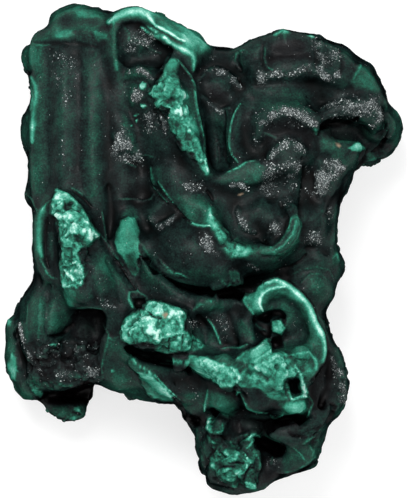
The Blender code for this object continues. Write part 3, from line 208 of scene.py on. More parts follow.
PALE_PATCHES = [
    # the cap and the brow
    (0.25, 0.25, [(-23.2, 34.6), (-21, 34.8), (-20.6, 34.1), (-21.6, 33.6), (-23.6, 33.8)]),
    (0.25, 0.3, [(-17.3, 34.7), (-15.7, 34.5), (-15.2, 33.6), (-16.8, 33.6)]),
    # painted highlight along the cap's upper edge
    (0.4, 0.4, [(-20.4, 38), (-17, 38.2), (-16.4, 37), (-19.6, 37)]),
    # the hood
    (0.8, 0.25, [(-7.6, 36.9), (-3.5, 35.8), (-0.5, 34.5), (1.2, 33), (1, 31.8), (-0.8, 31), (-2.2, 32.4),
        (-4.4, 33.9), (-6.6, 35.6)]),
    (0.8, 0.6, [(-2.6, 34.4), (-0.5, 33.8), (0.8, 32.8), (0.2, 32), (-2.4, 32.6), (-3.6, 33.6)]),
    (0.6, 0.3, [(-13.4, 38), (-10, 38.8), (-7.4, 37.4), (-8.6, 36.6), (-11, 37.2), (-13.6, 37)]),
    (0.15, 0.95, 0.4, [(-10.1, 26.1), (-9.6, 26.7), (-9, 26.4), (-8.9, 25.8), (-9.4, 25.4), (-10, 25.6)]),
    (0.12, 0.9, 0.3, [(-10, 23.1), (-9.4, 23), (-8.9, 22.8), (-9.4, 22.4), (-9.9, 22.6)]),
    (0.12, 0.8, 0.3, [(-10.9, 20.6), (-10.3, 20.9), (-10.1, 20.3), (-10.6, 20)]),
    (0.1, 0.8, 0.2, [(-11.2, 21.2), (-10.2, 21.6), (-10.1, 21.3), (-10.9, 20.9)]),
    (0.1, 0.6, 0.2, [(-11.6, 19.8), (-11.1, 19.8), (-11.2, 19.3), (-11.6, 19.4)]),
    # the tongue
    (0.25, 0.62, 0.2, [(-5.8, 29.4), (-5.2, 30.3), (-4.4, 30.3), (-3.8, 29.4), (-4.2, 27.4), (-3.4, 25.6),
        (-2.4, 24.2), (-3.4, 22.4), (-3, 20.2), (-1.6, 18.6), (-0.6, 17.6), (-0.1, 15.4), (0.6, 13.6),
        (1.3, 11.8), (0.6, 11.6), (-0.6, 13.4), (-1.4, 15.2), (-3.2, 15.6), (-3.4, 17.2), (-5, 18.8),
        (-5.4, 20.6), (-5.2, 21.8), (-6.6, 22.8), (-7.4, 22.2), (-7.6, 23.2), (-7, 23.8), (-8.6, 24.6),
        (-8.8, 25.6), (-7.2, 26.2), (-6.6, 28)]),
    (0.5, 0.3, [(-3.2, 22.6), (-1.4, 22), (-0.5, 18.4), (-1.8, 18.4), (-3, 20)]),
    (0.4, 0.4, [(-1.4, 4), (1.4, 3.8), (1.8, 6.8), (1.1, 6.4), (0, 5), (-1.6, 4.8)]),
    (0.6, 0.1, [(-3.4, 5.6), (-1, 8), (1.2, 7.4), (1.2, 4), (-1.6, 4.2)]),
    (0.4, 0.48, [(-3.8, 25.6), (-2.2, 25), (-1.3, 24), (-0.8, 20.5), (0, 17), (0.6, 14), (-0.4, 13.8),
        (-1.6, 16), (-3, 19), (-4.2, 22.6)]),
    # the fan
    (0.2, 0.75, 0.2, [(23.1, 16.2), (24.2, 16.5), (24.9, 17), (26.4, 16.4), (26.3, 15.8), (25.2, 15.6),
        (24, 15.7)]),
    # the plate, the swirl and what lies under them
    (0.5, 0.62, 0.2, [(0.8, 4.4), (1.2, 6.6), (1.6, 5.2), (2.8, 4), (3.4, 2.8), (4.4, 1.6), (5.8, 0.6),
        (7.4, 0.2), (8, -0.4), (6.4, -1.4), (4.8, -1.7), (3.8, -0.9), (3, 0.6), (2, 2), (1.4, 3.2)]),
    (0.15, 0.3, 0.25, [(4.3, -3.5), (5.2, -3.3), (6, -3.9), (5.9, -4.8), (5, -5.1), (4.2, -4.6)]),
    (0.8, 0.3, [(5, 0.6), (8.6, 0.4), (9.4, -0.6), (6.4, -1.6), (4.4, -1)]),
    # the finger
    (0.2, 0.58, 0.15, [(-11.9, 5.2), (-10.8, 4.7), (-10.1, 3), (-10.2, 0.6), (-9.9, -1), (-10.3, -1.8),
        (-10.1, -3.4), (-10.3, -4.3), (-10.9, -4.6), (-11.7, -3.4), (-12.6, -1.6), (-13.6, -0.4), (-14, 1),
        (-13.7, 3), (-13, 4.6)]),
    # the ledge
    (0.25, 0.82, 0.25, [(-23.4, 9.5), (-21.6, 8.7), (-20, 7.1), (-18.6, 5.2), (-16.6, 2.5), (-16.3, 1.7),
        (-17.3, 1.3), (-18, 0.3), (-19.4, 0.1), (-19.8, -0.6), (-19.6, -2), (-18.8, -3), (-18.9, -5.6),
        (-20, -6.4), (-20.6, -6), (-22.4, -6.2), (-22.9, -2.4), (-22.3, -0.4), (-22.8, 2.2), (-23, 4.4),
        (-24.3, 5.7), (-24, 7.4)]),
    (0.4, 0.42, [(-22.4, -5.6), (-20.4, -5.8), (-20.2, -8), (-20.7, -9.4), (-21.6, -9.4), (-22, -7.6)]),
    # the lower left
    (0.25, 0.55, 0.1, [(-30.7, -16.8), (-29.9, -17.4), (-29.7, -19), (-30, -21.2), (-30.8, -20.8),
        (-31.3, -18.6)]),
    (0.15, 0.6, 0.2, [(-27.5, -21.7), (-26.4, -22.3), (-25.4, -23.2), (-25.7, -23.9), (-26.7, -23.6),
        (-27.3, -22.7)]),
    (0.1, 0.8, 0.2, [(-24.6, -15.3), (-24, -15), (-23.4, -15.2), (-23.6, -15.6), (-24.3, -15.6)]),
    (0.3, 0.15, 0.1, [(-23.6, -25.5), (-21.8, -25.3), (-20.6, -26.4), (-21.4, -27.2), (-23.2, -26.8)]),
    (0.15, 0.6, 0.1, [(-21.2, -25.6), (-20, -25.5), (-19.7, -26), (-20.6, -26.2)]),
    (0.12, 0.6, 0.2, [(-21.4, -26.8), (-20.6, -26.9), (-20, -27.3), (-20.8, -27.7), (-21.4, -27.3)]),
    (0.12, 0.45, 0.2, [(-25.6, -25.8), (-24.9, -25.8), (-24.7, -26.3), (-25.3, -26.4)]),
    (0.12, 0.45, 0.2, [(-22.7, -27.4), (-22, -27.3), (-22, -27.8), (-22.6, -27.9)]),
    (0.2, 0.55, 0.1, [(-31.6, -11.4), (-31.1, -11.2), (-30.8, -11.8), (-31.3, -12.4)]),
    # the wedge
    (0.2, 0.72, 0.25, [(-10.4, -19.8), (-8.6, -19.9), (-7.4, -20.6), (-6, -22), (-4.6, -23.6), (-3.8, -24.4),
        (-6, -24.3), (-8, -23.9), (-9.2, -22.6)]),
    (0.1, 0.55, 0.15, [(-14.7, -19.1), (-14.2, -19), (-14.1, -19.6), (-14.6, -19.7)]),
    # the bloom
    (0.25, 0.85, 0.3, [(-12.3, -11.2), (-10.8, -10), (-9.3, -9.8), (-8.9, -8.6), (-8, -8.1), (-5.6, -8.7),
        (-3.4, -9.6), (-2.5, -10.4), (-2.9, -12), (-3.2, -13.3), (-6, -14.2), (-7.4, -15.2), (-9, -14.8),
        (-11.6, -15.2), (-13, -14.4), (-13.3, -13.4)]),
    (0.3, 0.62, 0.2, [(-7.6, -14), (-3.2, -13), (-1.6, -13.7), (-0.4, -14.5), (0.3, -15.6), (-1.4, -16.5),
        (-3, -16.4), (-5.6, -16.8), (-7.6, -16.1)]),
    (0.12, 0.65, 0.2, [(-6.4, -17.9), (-4, -17.6), (-2.2, -17.7), (-2.6, -18.4), (-4.4, -18.3)]),
    # the loop
    (0.5, 0.38, [(7, -7.8), (9, -6), (12, -5), (13, -7), (10.4, -8), (9, -10.6), (8, -10.4)]),
    (0.2, 0.7, 0.3, [(11, -11.4), (12.6, -11.2), (13.2, -12.6), (12.6, -13.7), (11.2, -13.1)]),
    # the lower mass
    (0.3, 0.72, 0.2, [(-2, -16.9), (1, -17.3), (2.2, -18), (5.6, -19.1), (6.1, -20.8), (4.8, -22.1),
        (3.2, -22.1), (1.8, -21.1), (0, -20.3), (-1.6, -19.4), (-2.6, -18.4)]),
    (0.2, 0.7, 0.3, [(5.4, -17.7), (7, -16.4), (8.8, -15.8), (10.3, -14.4), (10.7, -15.2), (11.1, -16.5),
        (10.4, -17), (8.6, -18), (7, -18.5)]),
    (0.3, 0.55, 0.25, [(8, -18), (10, -16.8), (13, -16.3), (14.4, -17.6), (15.2, -19), (16.2, -20),
        (16.8, -23.4), (15.9, -23.6), (15.4, -20.8), (13.3, -20.3), (12.6, -21.6), (13.7, -23.8), (12, -24.2),
        (10.2, -23.4), (9, -22), (7.6, -22), (6.2, -22), (5.2, -21), (6.2, -19.6), (7, -18.8)]),
    (0.4, 0.35, 0.1, [(14.6, -17), (17, -16.4), (18.8, -17.8), (18.6, -19.4), (16.4, -20), (15, -18.6)]),
    (0.3, 0.35, 0.1, [(13.4, -24.4), (16.2, -24.2), (16.7, -25.6), (16, -26.5), (13.6, -26.3),
        (12.8, -25.2)]),
    (0.12, 0.95, 0.3, [(5.2, -22.7), (5.6, -22.5), (5.9, -22.9), (5.5, -23.3), (5.2, -23.1)]),
    # the bottom lobe and the facets beside it
    (0.5, 0.22, 0.1, [(1.2, -33.4), (3.4, -32), (5.4, -32.4), (6.6, -34), (5.4, -37.6), (3.2, -36.8),
        (1.4, -35)]),
    (0.15, 0.55, 0.2, [(1.4, -34.3), (1.9, -34.3), (2, -34.8), (1.5, -34.9)]),
    (0.3, 0.3, 0.2, [(3.4, -35.2), (6.2, -35.2), (6.2, -36.4), (4.6, -37.2), (3.4, -36.4)]),
    (0.2, 0.55, 0.2, [(6.8, -37.2), (8.4, -37.6), (8.6, -38.4), (7.2, -38.5)]),
    (0.2, 0.45, 0.2, [(0.8, -27.2), (1.4, -27), (1.5, -29), (0.9, -28.9)]),
]

DARK_PATCHES = [
    # the cap and the brow
    (0.4, 0.6, [(-22.6, 37.5), (-20.5, 37.6), (-20.2, 35.6), (-22, 35.3), (-23.2, 36.2)]),
    (0.4, 0.5, [(-19, 36.6), (-17, 36.8), (-16.4, 36), (-18.4, 35.6)]),
    # the flutes
    (0.8, 0.55, [(-15.4, 30), (-14, 28), (-13.4, 18), (-13.8, 9.6), (-15.6, 9.6), (-15.4, 20)]),
    (0.6, 0.25, [(-20, 28), (-18.8, 28), (-18.9, 14), (-20.2, 12), (-20, 20)]),
    # the hood
    (0.4, 0.05, -0.3, [(-13.6, 30), (-13.7, 34.6), (-12.6, 36), (-10, 36.2), (-7.4, 34), (-4.8, 31.8),
        (-5.2, 30.4), (-7, 29), (-12, 29)]),
    # the fan
    (1.0, 0.9, [(10.6, 29.4), (10.4, 32.6), (14, 33.8), (17, 33.2), (17.2, 30.4), (14, 29.2)]),
    (0.8, 0.8, [(0.6, 25.4), (2.2, 26.4), (4.2, 25.6), (3.6, 23.4), (1.4, 23.2)]),
    (1.0, 0.5, [(0, 27), (4, 27), (4, 23), (0, 23)]),
    # the plate, the swirl and what lies under them
    (0.3, 0.9, [(10.3, 1.8), (10.8, 3.8), (12, 5.3), (13, 5.4), (12.8, 3.8), (12, 1.8), (11.1, 0.9)]),
    # the belly
    (1.0, 0.35, [(-8, -2), (-2, -3), (-1, -5), (-6, -4.6), (-8.6, -2.8)]),
    (0.8, 0.6, [(-4.6, -5.6), (0, -6.2), (1, -7.4), (-2, -7.2)]),
    (1.0, 0.6, [(-7.6, 1.6), (-5, 3.4), (-2.4, 2.4), (-1.4, -1), (-3, -3.4), (-6.4, -2.4)]),
    (1.2, 0.3, [(-4, 2), (4, 2), (5, -3), (-3, -3)]),
    # the ledge
    (0.3, 0.6, -0.3, [(-22.1, 7.4), (-21, 7.4), (-20.9, 6), (-22.1, 6.2)]),
    (0.3, 0.45, -0.2, [(-20.6, 2.5), (-18.8, 2.1), (-19, 1.1), (-20.7, 1)]),
    # the wedge
    (0.4, 0.7, [(-5.6, -19.6), (-0.4, -20.4), (0.2, -22.4), (-2.6, -23.4), (-4.6, -22)]),
    # the bloom
    (0.2, 0.85, -0.3, [(-11.1, -7.9), (-9.4, -7.8), (-9, -8.7), (-9.4, -9.5), (-10.6, -9.6)]),
    (0.3, 0.45, [(-9.2, -15.4), (-7.4, -15.9), (-7, -14.7), (-8.8, -14.5)]),
    # the loop
    (0.3, 0.9, -0.2, [(8.6, -11.6), (10.8, -11.2), (11, -13), (10.8, -14.2), (9, -13.4)]),
    (0.3, 0.9, -0.3, [(11, -14), (12.6, -14), (12.9, -15.6), (11.2, -16)]),
    # the lower mass
    (0.25, 0.65, -0.2, [(13.5, -21), (14.6, -20.3), (15.5, -21), (15.8, -22.9), (15, -23.3), (14.2, -23)]),
    (0.4, 0.9, [(6.5, -22.5), (8.8, -22.6), (10, -24), (12, -24.6), (12.6, -25.6), (11, -26.5), (8, -26.2),
        (7, -25)]),
    # the bottom lobe and the facets beside it
    (0.4, 0.95, [(9.6, -33), (12.6, -33.6), (12.8, -36.2), (9.8, -37.6), (9.3, -35.6)]),
    # the right flank
    (0.4, 0.7, [(17.6, -20.4), (20, -17), (21, -20), (20.4, -25), (18, -27), (17.4, -23)]),
]

# Painted shade, nearly black: the bottoms of caverns and pits
CAVERN_SHADE = [
    (0.25, 1.0, [(-25.4, -22.9), (-22, -22.8), (-20, -22), (-18.6, -20.9), (-17, -21.8), (-17.6, -23),
        (-18, -25), (-21, -25.1), (-24.8, -24.9), (-26.6, -24.8)]),
    (0.2, 1.0, [(2.4, -6.6), (3.6, -6), (5, -6.2), (6.8, -7.3), (5.8, -8.3), (4.6, -8), (2.4, -7.9)]),
    (0.2, 1.0, [(8.3, -30.6), (9.6, -30.3), (11, -30.7), (12.6, -31.2), (13.5, -31.7), (13, -33.3),
        (12, -33.5), (11, -32.8), (9.6, -32.4), (8.8, -31.8)]),
    (0.25, 0.9, [(-3, -25.8), (-2, -26.5), (0.4, -26.5), (0.6, -28.3), (-1.6, -28.4), (-3.2, -27.2)]),
    (0.2, 0.9, -0.3, [(0.7, -25.6), (1.8, -25.5), (3, -26.5), (4.2, -27.4), (2.6, -27.4), (1.6, -26.4)]),
    (0.12, 1.0, -0.6, [(-6.8, 22.5), (-6, 22.5), (-5.1, 22.2), (-5.4, 21.8), (-6.2, 21.9)]),
]

GREEN_LINES = [
    (1.8, 0.42, [(-16.8, 31), (-16.9, 22), (-17.2, 14), (-17.4, 8)]),
    (0.9, 0.5, [(-25.4, 16), (-25.2, 10), (-25, 5)]),
    (0.7, 0.65, 0.05, [(-13.7, 30), (-12.9, 25), (-12.2, 20), (-10.8, 16.5), (-9.8, 14.5)]),
    (0.6, 0.9, [(-13.6, 36.7), (-12, 37.2), (-10, 37), (-8.4, 36)]),
    (0.35, 0.8, [(-6.8, 36.1), (-3.5, 35), (-1.6, 34)]),
    (0.4, 0.6, [(6.2, 22.6), (5.6, 20), (5.4, 17)]),
    (0.15, 0.6, 0.1, [(2.2, 17), (2.5, 12.5)]),
    (0.4, 0.6, [(29.2, 23.6), (29.6, 21.6), (29.3, 20.2)]),
    (0.55, 0.95, 0.1, [(-24.1, 2.6), (-24.2, 0), (-24, -1.6)]),
    (1.2, 0.55, [(-26, 31), (-25.8, 24), (-26, 16), (-26.4, 9)]),
    (0.4, 0.35, [(-20.6, 29), (-20.9, 20), (-21.4, 11)]),
]

PALE_LINES = [
    # the cap and the brow
    (0.12, 0.35, 0.1, [(-26.4, 32.6), (-25.4, 32.4), (-24.4, 32.7)]),
    # the flutes
    (0.5, 0.55, 0.2, [(-27.5, 27.6), (-26.8, 26), (-26.6, 24.5), (-27, 22.5), (-27.2, 20), (-27.3, 17)]),
    (0.2, 0.45, 0.1, [(-27.7, 26.4), (-27.2, 24.6), (-27.6, 22)]),
    # the hood
    (0.75, 0.72, 0.22, [(-15.1, 36.1), (-13.8, 37), (-12, 37.7), (-10, 37.8), (-8.8, 37.3), (-8, 36.2)]),
    (0.5, 0.24, 0.1, [(-14.2, 36), (-14.1, 33.5), (-14.1, 31), (-13.7, 28.6)]),
    (0.25, 0.95, 0.15, [(-9.8, 35.4), (-8.8, 34.6), (-7.8, 34), (-6.6, 33.7), (-5.6, 33.4), (-5, 32.7)]),
    (0.15, 0.6, 0.12, [(-9, 35.7), (-7.9, 35), (-6.6, 34.3), (-5.4, 33.6)]),
    (0.1, 0.35, 0.1, [(-12.4, 35.4), (-11.6, 34.2), (-11.9, 33)]),
    (0.1, 0.35, 0.1, [(-9.4, 33), (-8.2, 31.8), (-6.8, 31.2)]),
    (0.28, 0.95, 0.18, [(-8.9, 37.2), (-8.3, 36.6), (-7.5, 35.6), (-6, 34.8), (-4.6, 34), (-3.8, 33.4),
        (-2.8, 33.1)]),
    (0.5, 0.75, 0.2, [(-6, 33.8), (-5.3, 33), (-4.4, 32.4), (-3.4, 31.9), (-2.4, 31.4), (-1.6, 30.9),
        (-1.3, 30), (-1.5, 28.4)]),
    (0.18, 0.95, 0.12, [(-8.5, 35.3), (-7.9, 35), (-7.3, 34.5)]),
    # the tongue
    (0.2, 0.8, 0.2, [(-4, 30.2), (-3, 29), (-1.9, 27.6), (-1.3, 26), (-1.1, 24), (-0.8, 22), (-0.2, 19.5),
        (0.3, 17.5), (0.4, 15.5), (0.5, 13.8), (1, 12.2)]),
    (0.22, 0.5, 0.15, [(-8.3, 13), (-8, 11), (-7.6, 10.2)]),
    (0.12, 0.55, 0.15, [(-8, 10), (-6.8, 8.6), (-5.6, 7.4)]),
    (0.12, 0.7, 0.15, [(-7.1, 10.8), (-5.8, 8.8), (-4.6, 7.2)]),
    (0.25, 0.85, 0.2, [(-2.2, 4.3), (-1, 3.8), (0.3, 3.6), (1.2, 3.7)]),
    (0.12, 0.4, 0.1, [(-9.6, 15), (-8.6, 14.9), (-7.6, 14.5)]),
    (0.12, 0.4, 0.1, [(-12.4, 13.9), (-11.4, 13.4), (-10.6, 13.1)]),
    (0.18, 0.35, 0.1, [(-13.4, 7.9), (-11.4, 8), (-9.6, 7.6), (-8.2, 8), (-7.8, 8.8)]),
    # the fan
    (0.18, 0.6, 0.25, [(6.1, 23.2), (5.2, 21.8), (4.6, 20), (4.3, 18), (4.3, 16.4), (4.7, 15), (5.8, 13.7)]),
    (0.18, 0.55, 0.2, [(3.9, 12.2), (5.8, 13), (7, 13.8), (8.6, 14.1)]),
    (0.18, 0.4, 0.1, [(6.6, 31.8), (5.5, 31.2), (5.2, 30.2), (5.9, 28.8)]),
    (0.15, 0.45, 0.1, [(10.2, 32.2), (9.9, 30.4), (10.3, 29), (11.3, 28.4)]),
    # these three are painted highlights along the top of the upper lobe
    (0.35, 0.6, 0.1, [(11.5, 34.1), (12.8, 34.9), (14, 34.4)]),
    (0.3, 0.25, 0.1, [(13, 34.6), (13.3, 32.8)]),
    (0.25, 0.8, 0.1, [(17.1, 34), (17.5, 33.9), (18, 33.8)]),
    (0.2, 0.55, 0.15, [(10, 18.4), (10.8, 18.1), (11.9, 17.6)]),
    (0.3, 0.55, 0.15, [(17.9, 19.3), (18.1, 18.7), (18.2, 18.2)]),
    (0.25, 0.3, 0.1, [(24.1, 27.1), (25, 28.6), (25.4, 29.4)]),
    (0.2, 0.3, 0.1, [(31, 22.4), (31.5, 21.8), (31.5, 21.2)]),
    (0.2, 0.3, 0.1, [(26.4, 14), (27.4, 14.3), (28.4, 14.6)]),
    # the plate, the swirl and what lies under them
    (0.12, 0.4, 0.12, [(11, -0.6), (12.9, 0.5), (14.4, 2.3), (15, 4.6)]),
    (0.12, 0.4, 0.1, [(10.7, 0.1), (12.3, 1.5), (13.8, 3.4), (14.2, 5)]),
    (0.15, 0.45, 0.1, [(3, -4.9), (3.6, -5.5), (4.6, -5.8)]),
    (0.2, 0.35, 0.1, [(5.2, -6), (6.2, -6.6), (6.6, -7)]),
    (0.25, 0.4, 0.15, [(8.2, -10.4), (7, -9), (6.6, -8.2), (7, -7.4)]),
    (0.12, 0.22, 0.1, [(14.2, -4.2), (16, -3.2), (18.4, -2.9), (20.4, -3.4), (21, -4.6)]),
    (0.12, 0.2, 0.1, [(15.8, -5.4), (17.4, -4), (19, -4), (20, -5)]),
    (0.2, 0.4, 0.1, [(20.8, -1.6), (21.6, -0.8), (21.9, -2)]),
    # the belly
    (0.15, 0.55, 0.15, [(-7.1, -1.4), (-6, -2.6), (-4.6, -3.8), (-3.4, -4), (-2.2, -4.7)]),
    (0.12, 0.35, 0.1, [(-5.8, -3.2), (-4.4, -4.2), (-3, -4.4)]),
    (0.25, 0.25, 0.1, [(-9.7, 0.8), (-8.6, -1), (-7.6, -2.6), (-6.4, -4)]),
    (0.15, 0.45, 0.15, [(-11.9, -6.9), (-10.2, -6.9), (-9, -7.6), (-8.6, -8)]),
    (0.3, 0.65, 0.2, [(-11.8, -7), (-11.7, -8.2), (-11.1, -9.4)]),
    # the rib
    (0.85, 0.55, 0.25, [(-25.5, 6.4), (-26, 5), (-26.1, 3.4), (-26.1, 1.4), (-26, 0), (-25.7, -1.2)]),
    (0.15, 0.4, 0.12, [(-23.9, 8), (-25, 7.2), (-25.8, 6)]),
    (0.12, 0.45, 0.12, [(-28.5, 8.9), (-27.4, 8), (-26.8, 6.6), (-26, 5.4)]),
    (0.2, 0.45, 0.15, [(-26.1, -1.4), (-25.4, -2.6), (-24.9, -3.8), (-24.1, -4.6), (-23.2, -4.7)]),
    # the ledge
    (0.3, 0.75, 0.3, [(-23.4, 9.4), (-21.4, 8.5), (-19.6, 6.7), (-18.4, 4.8), (-18.6, 3.8)]),
    (0.3, 0.75, 0.25, [(-23.9, 7.2), (-24.1, 5.9), (-22.9, 5.1), (-21.8, 5), (-20.7, 5.9)]),
    (0.3, 0.75, 0.25, [(-19.6, 3), (-18.4, 3), (-17.4, 2.4), (-16.6, 2)]),
    (0.25, 0.75, 0.2, [(-22.4, -2.6), (-21, -2.4), (-20, -2)]),
    (0.3, 0.75, 0.25, [(-22.2, -3.2), (-21, -4.4), (-20, -5.4), (-19.1, -5.4)]),
    (0.12, 0.45, 0.12, [(-16.4, 2.4), (-15, 0.6), (-13.6, -1.6), (-12.2, -3.6), (-11, -5.6), (-10.4, -6.6)]),
    (0.15, 0.35, 0.1, [(-16.1, 6), (-15.7, 3.8), (-15.4, 1.2)]),
    (0.2, 0.4, 0.1, [(-20.9, 9.7), (-20.1, 9.2), (-19.2, 8.6)]),
    (0.15, 0.35, 0.1, [(-20.2, -9.5), (-17.6, -9.3), (-15.9, -9.6)]),
    # the lower left
    (0.15, 0.2, 0.1, [(-26, -8), (-26.2, -11), (-26.2, -15)]),
    (0.15, 0.18, 0.1, [(-28, -9), (-28.2, -12), (-28, -15)]),
    (0.15, 0.22, 0.1, [(-20, -13.6), (-19.4, -12.7), (-18.5, -12.3), (-17.7, -12.8), (-17.2, -13.9)]),
    (0.12, 0.22, 0.1, [(-18.7, -12.4), (-18.7, -14.2)]),
    # the wedge
    (0.15, 0.65, 0.15, [(-11.7, -16.6), (-10.6, -18.2), (-9.2, -19.2), (-7.6, -20.2), (-6.2, -21.6),
        (-4.8, -23), (-3.6, -24.1)]),
    (0.15, 0.35, 0.12, [(-16, -12), (-15, -13.6), (-15.2, -15), (-15.8, -17), (-16.2, -19), (-15.9, -20.8)]),
    (0.2, 0.4, 0.1, [(-15.2, -14), (-14.4, -14.4), (-13.4, -14)]),
    # the dark panel
    (0.22, 0.75, 0.25, [(0.8, -11.1), (1.8, -12.4), (2.4, -13.8), (3, -15.3)]),
    (0.22, 0.5, 0.2, [(-1.5, -9.7), (-0.3, -8.8), (1.2, -8.4), (2.6, -8.3)]),
    (0.22, 0.55, 0.2, [(3, -15.9), (4.4, -15.7), (5.8, -15.8), (7.2, -15.2)]),
    (0.2, 0.4, 0.15, [(8.5, -11.9), (9.3, -12.7), (10.2, -13)]),
    # the loop
    (0.6, 0.74, 0.25, [(10, -5.4), (11.6, -4.9), (12.8, -5.3), (14, -6.1), (15.4, -7.3), (16.5, -8.3),
        (17.3, -9.6), (17.8, -11), (18.5, -12.5), (19.2, -13.7), (19.6, -15), (19.6, -16.6), (19.2, -18)]),
    (0.3, 0.35, 0.15, [(8.6, -6.4), (10, -5.5), (12, -4.9)]),
    (0.3, 0.7, 0.2, [(9.7, -9.9), (9.2, -9), (9.2, -8), (9.7, -7.1), (10.6, -6.5), (12, -6.1), (13.2, -6)]),
    (0.25, 0.5, 0.15, [(17.1, -16.5), (18, -17.8), (18.3, -19.4), (17.4, -20.4)]),
    (0.2, 0.4, 0.15, [(13.8, -17), (15.4, -16.6), (17, -16.4)]),
    # the lower mass
    (0.22, 0.8, 0.3, [(5.4, -17.6), (6.6, -16.6), (8.6, -15.8), (10.2, -14.5), (10.6, -15.3), (11, -16.5)]),
    (0.18, 0.65, 0.25, [(13.3, -21.4), (13.8, -23), (14.3, -24), (15.6, -23.6), (16.8, -23.7)]),
    (0.22, 0.7, 0.25, [(14.6, -18.4), (15.8, -20), (16.2, -21.6), (16.7, -23.7)]),
    (0.18, 0.65, 0.2, [(17, -23.5), (17.7, -24.6), (17.2, -26), (16.8, -26.9)]),
    (0.2, 0.55, 0.15, [(5.8, -22.3), (6.6, -24), (7.2, -25.4), (8.6, -26), (10.4, -26.2)]),
    (0.2, 0.5, 0.15, [(10.8, -26.5), (11.6, -27.2), (12.6, -26.7), (13, -26)]),
    (0.25, 0.75, 0.15, [(0.9, -22.4), (0.6, -24), (0.3, -26)]),
    # the bottom lobe and the facets beside it
    (0.28, 0.65, 0.15, [(1.2, -27), (0.8, -27.8), (0.8, -28.8), (1.4, -29.3)]),
    (0.28, 0.55, 0.15, [(0.9, -29.9), (1.3, -30.8), (2.1, -31.4)]),
    (0.18, 0.65, 0.12, [(4.1, -30.3), (4.6, -31), (5, -31.7)]),
    (0.15, 0.4, 0.12, [(9.7, -29.2), (10.2, -29.8), (11, -30.4), (12.6, -30.9)]),
    (0.25, 0.65, 0.2, [(9.4, -30.1), (8.2, -29.6), (7.5, -30.1), (7, -30.6)]),
    (0.18, 0.5, 0.12, [(8.3, -32.3), (9, -33.4), (9.3, -34.6), (9.2, -36), (8.8, -37.4)]),
    (0.2, 0.4, 0.1, [(11.2, -33.3), (11, -34.5)]),
    (0.15, 0.45, 0.12, [(13.2, -35.8), (15, -35.4), (16.8, -34.4), (18.2, -33.2)]),
    (0.18, 0.45, 0.12, [(16.1, -31.2), (17.4, -30.2), (18.6, -29.4)]),
    (0.2, 0.35, 0.1, [(14, -28.3), (14.4, -28.8), (14.8, -29)]),
    (0.22, 0.6, 0.15, [(7.2, -31.8), (7.8, -31.1), (8.2, -30.4)]),
    (0.15, 0.5, 0.12, [(6, -29.9), (6.8, -29.7), (7.4, -29.5)]),
    (0.18, 0.55, 0.12, [(3.2, -27.8), (3.3, -29), (2.3, -29.3)]),
    (0.2, 0.6, 0.15, [(6.9, -32.8), (7.3, -33.8), (7.8, -34.2)]),
    (0.15, 0.5, 0.12, [(6.2, -33.4), (6.9, -33.9), (7.2, -34.8), (6.8, -35.6), (6.2, -35.8), (6, -35)]),
    (0.25, 0.4, 0.15, [(1.2, -33.2), (2.2, -33.8), (3.4, -33.4), (3.6, -32.4)]),
    (0.25, 0.5, 0.15, [(3.4, -35.4), (4.4, -35), (5.4, -35.6), (5, -36.6), (4.2, -36.8)]),
    (0.2, 0.55, 0.15, [(6.8, -37.2), (7.8, -37.4), (8.6, -38)]),
    (0.3, 0.35, 0.1, [(3.6, -31.6), (4, -33), (5.2, -33.4), (6, -32.4)]),
    (0.12, 0.4, 0.1, [(14.4, -31.6), (15.6, -32.6), (16.6, -34)]),
    (0.2, 0.4, 0.12, [(17, -31.4), (17.8, -32.4), (17.4, -33.6)]),
]
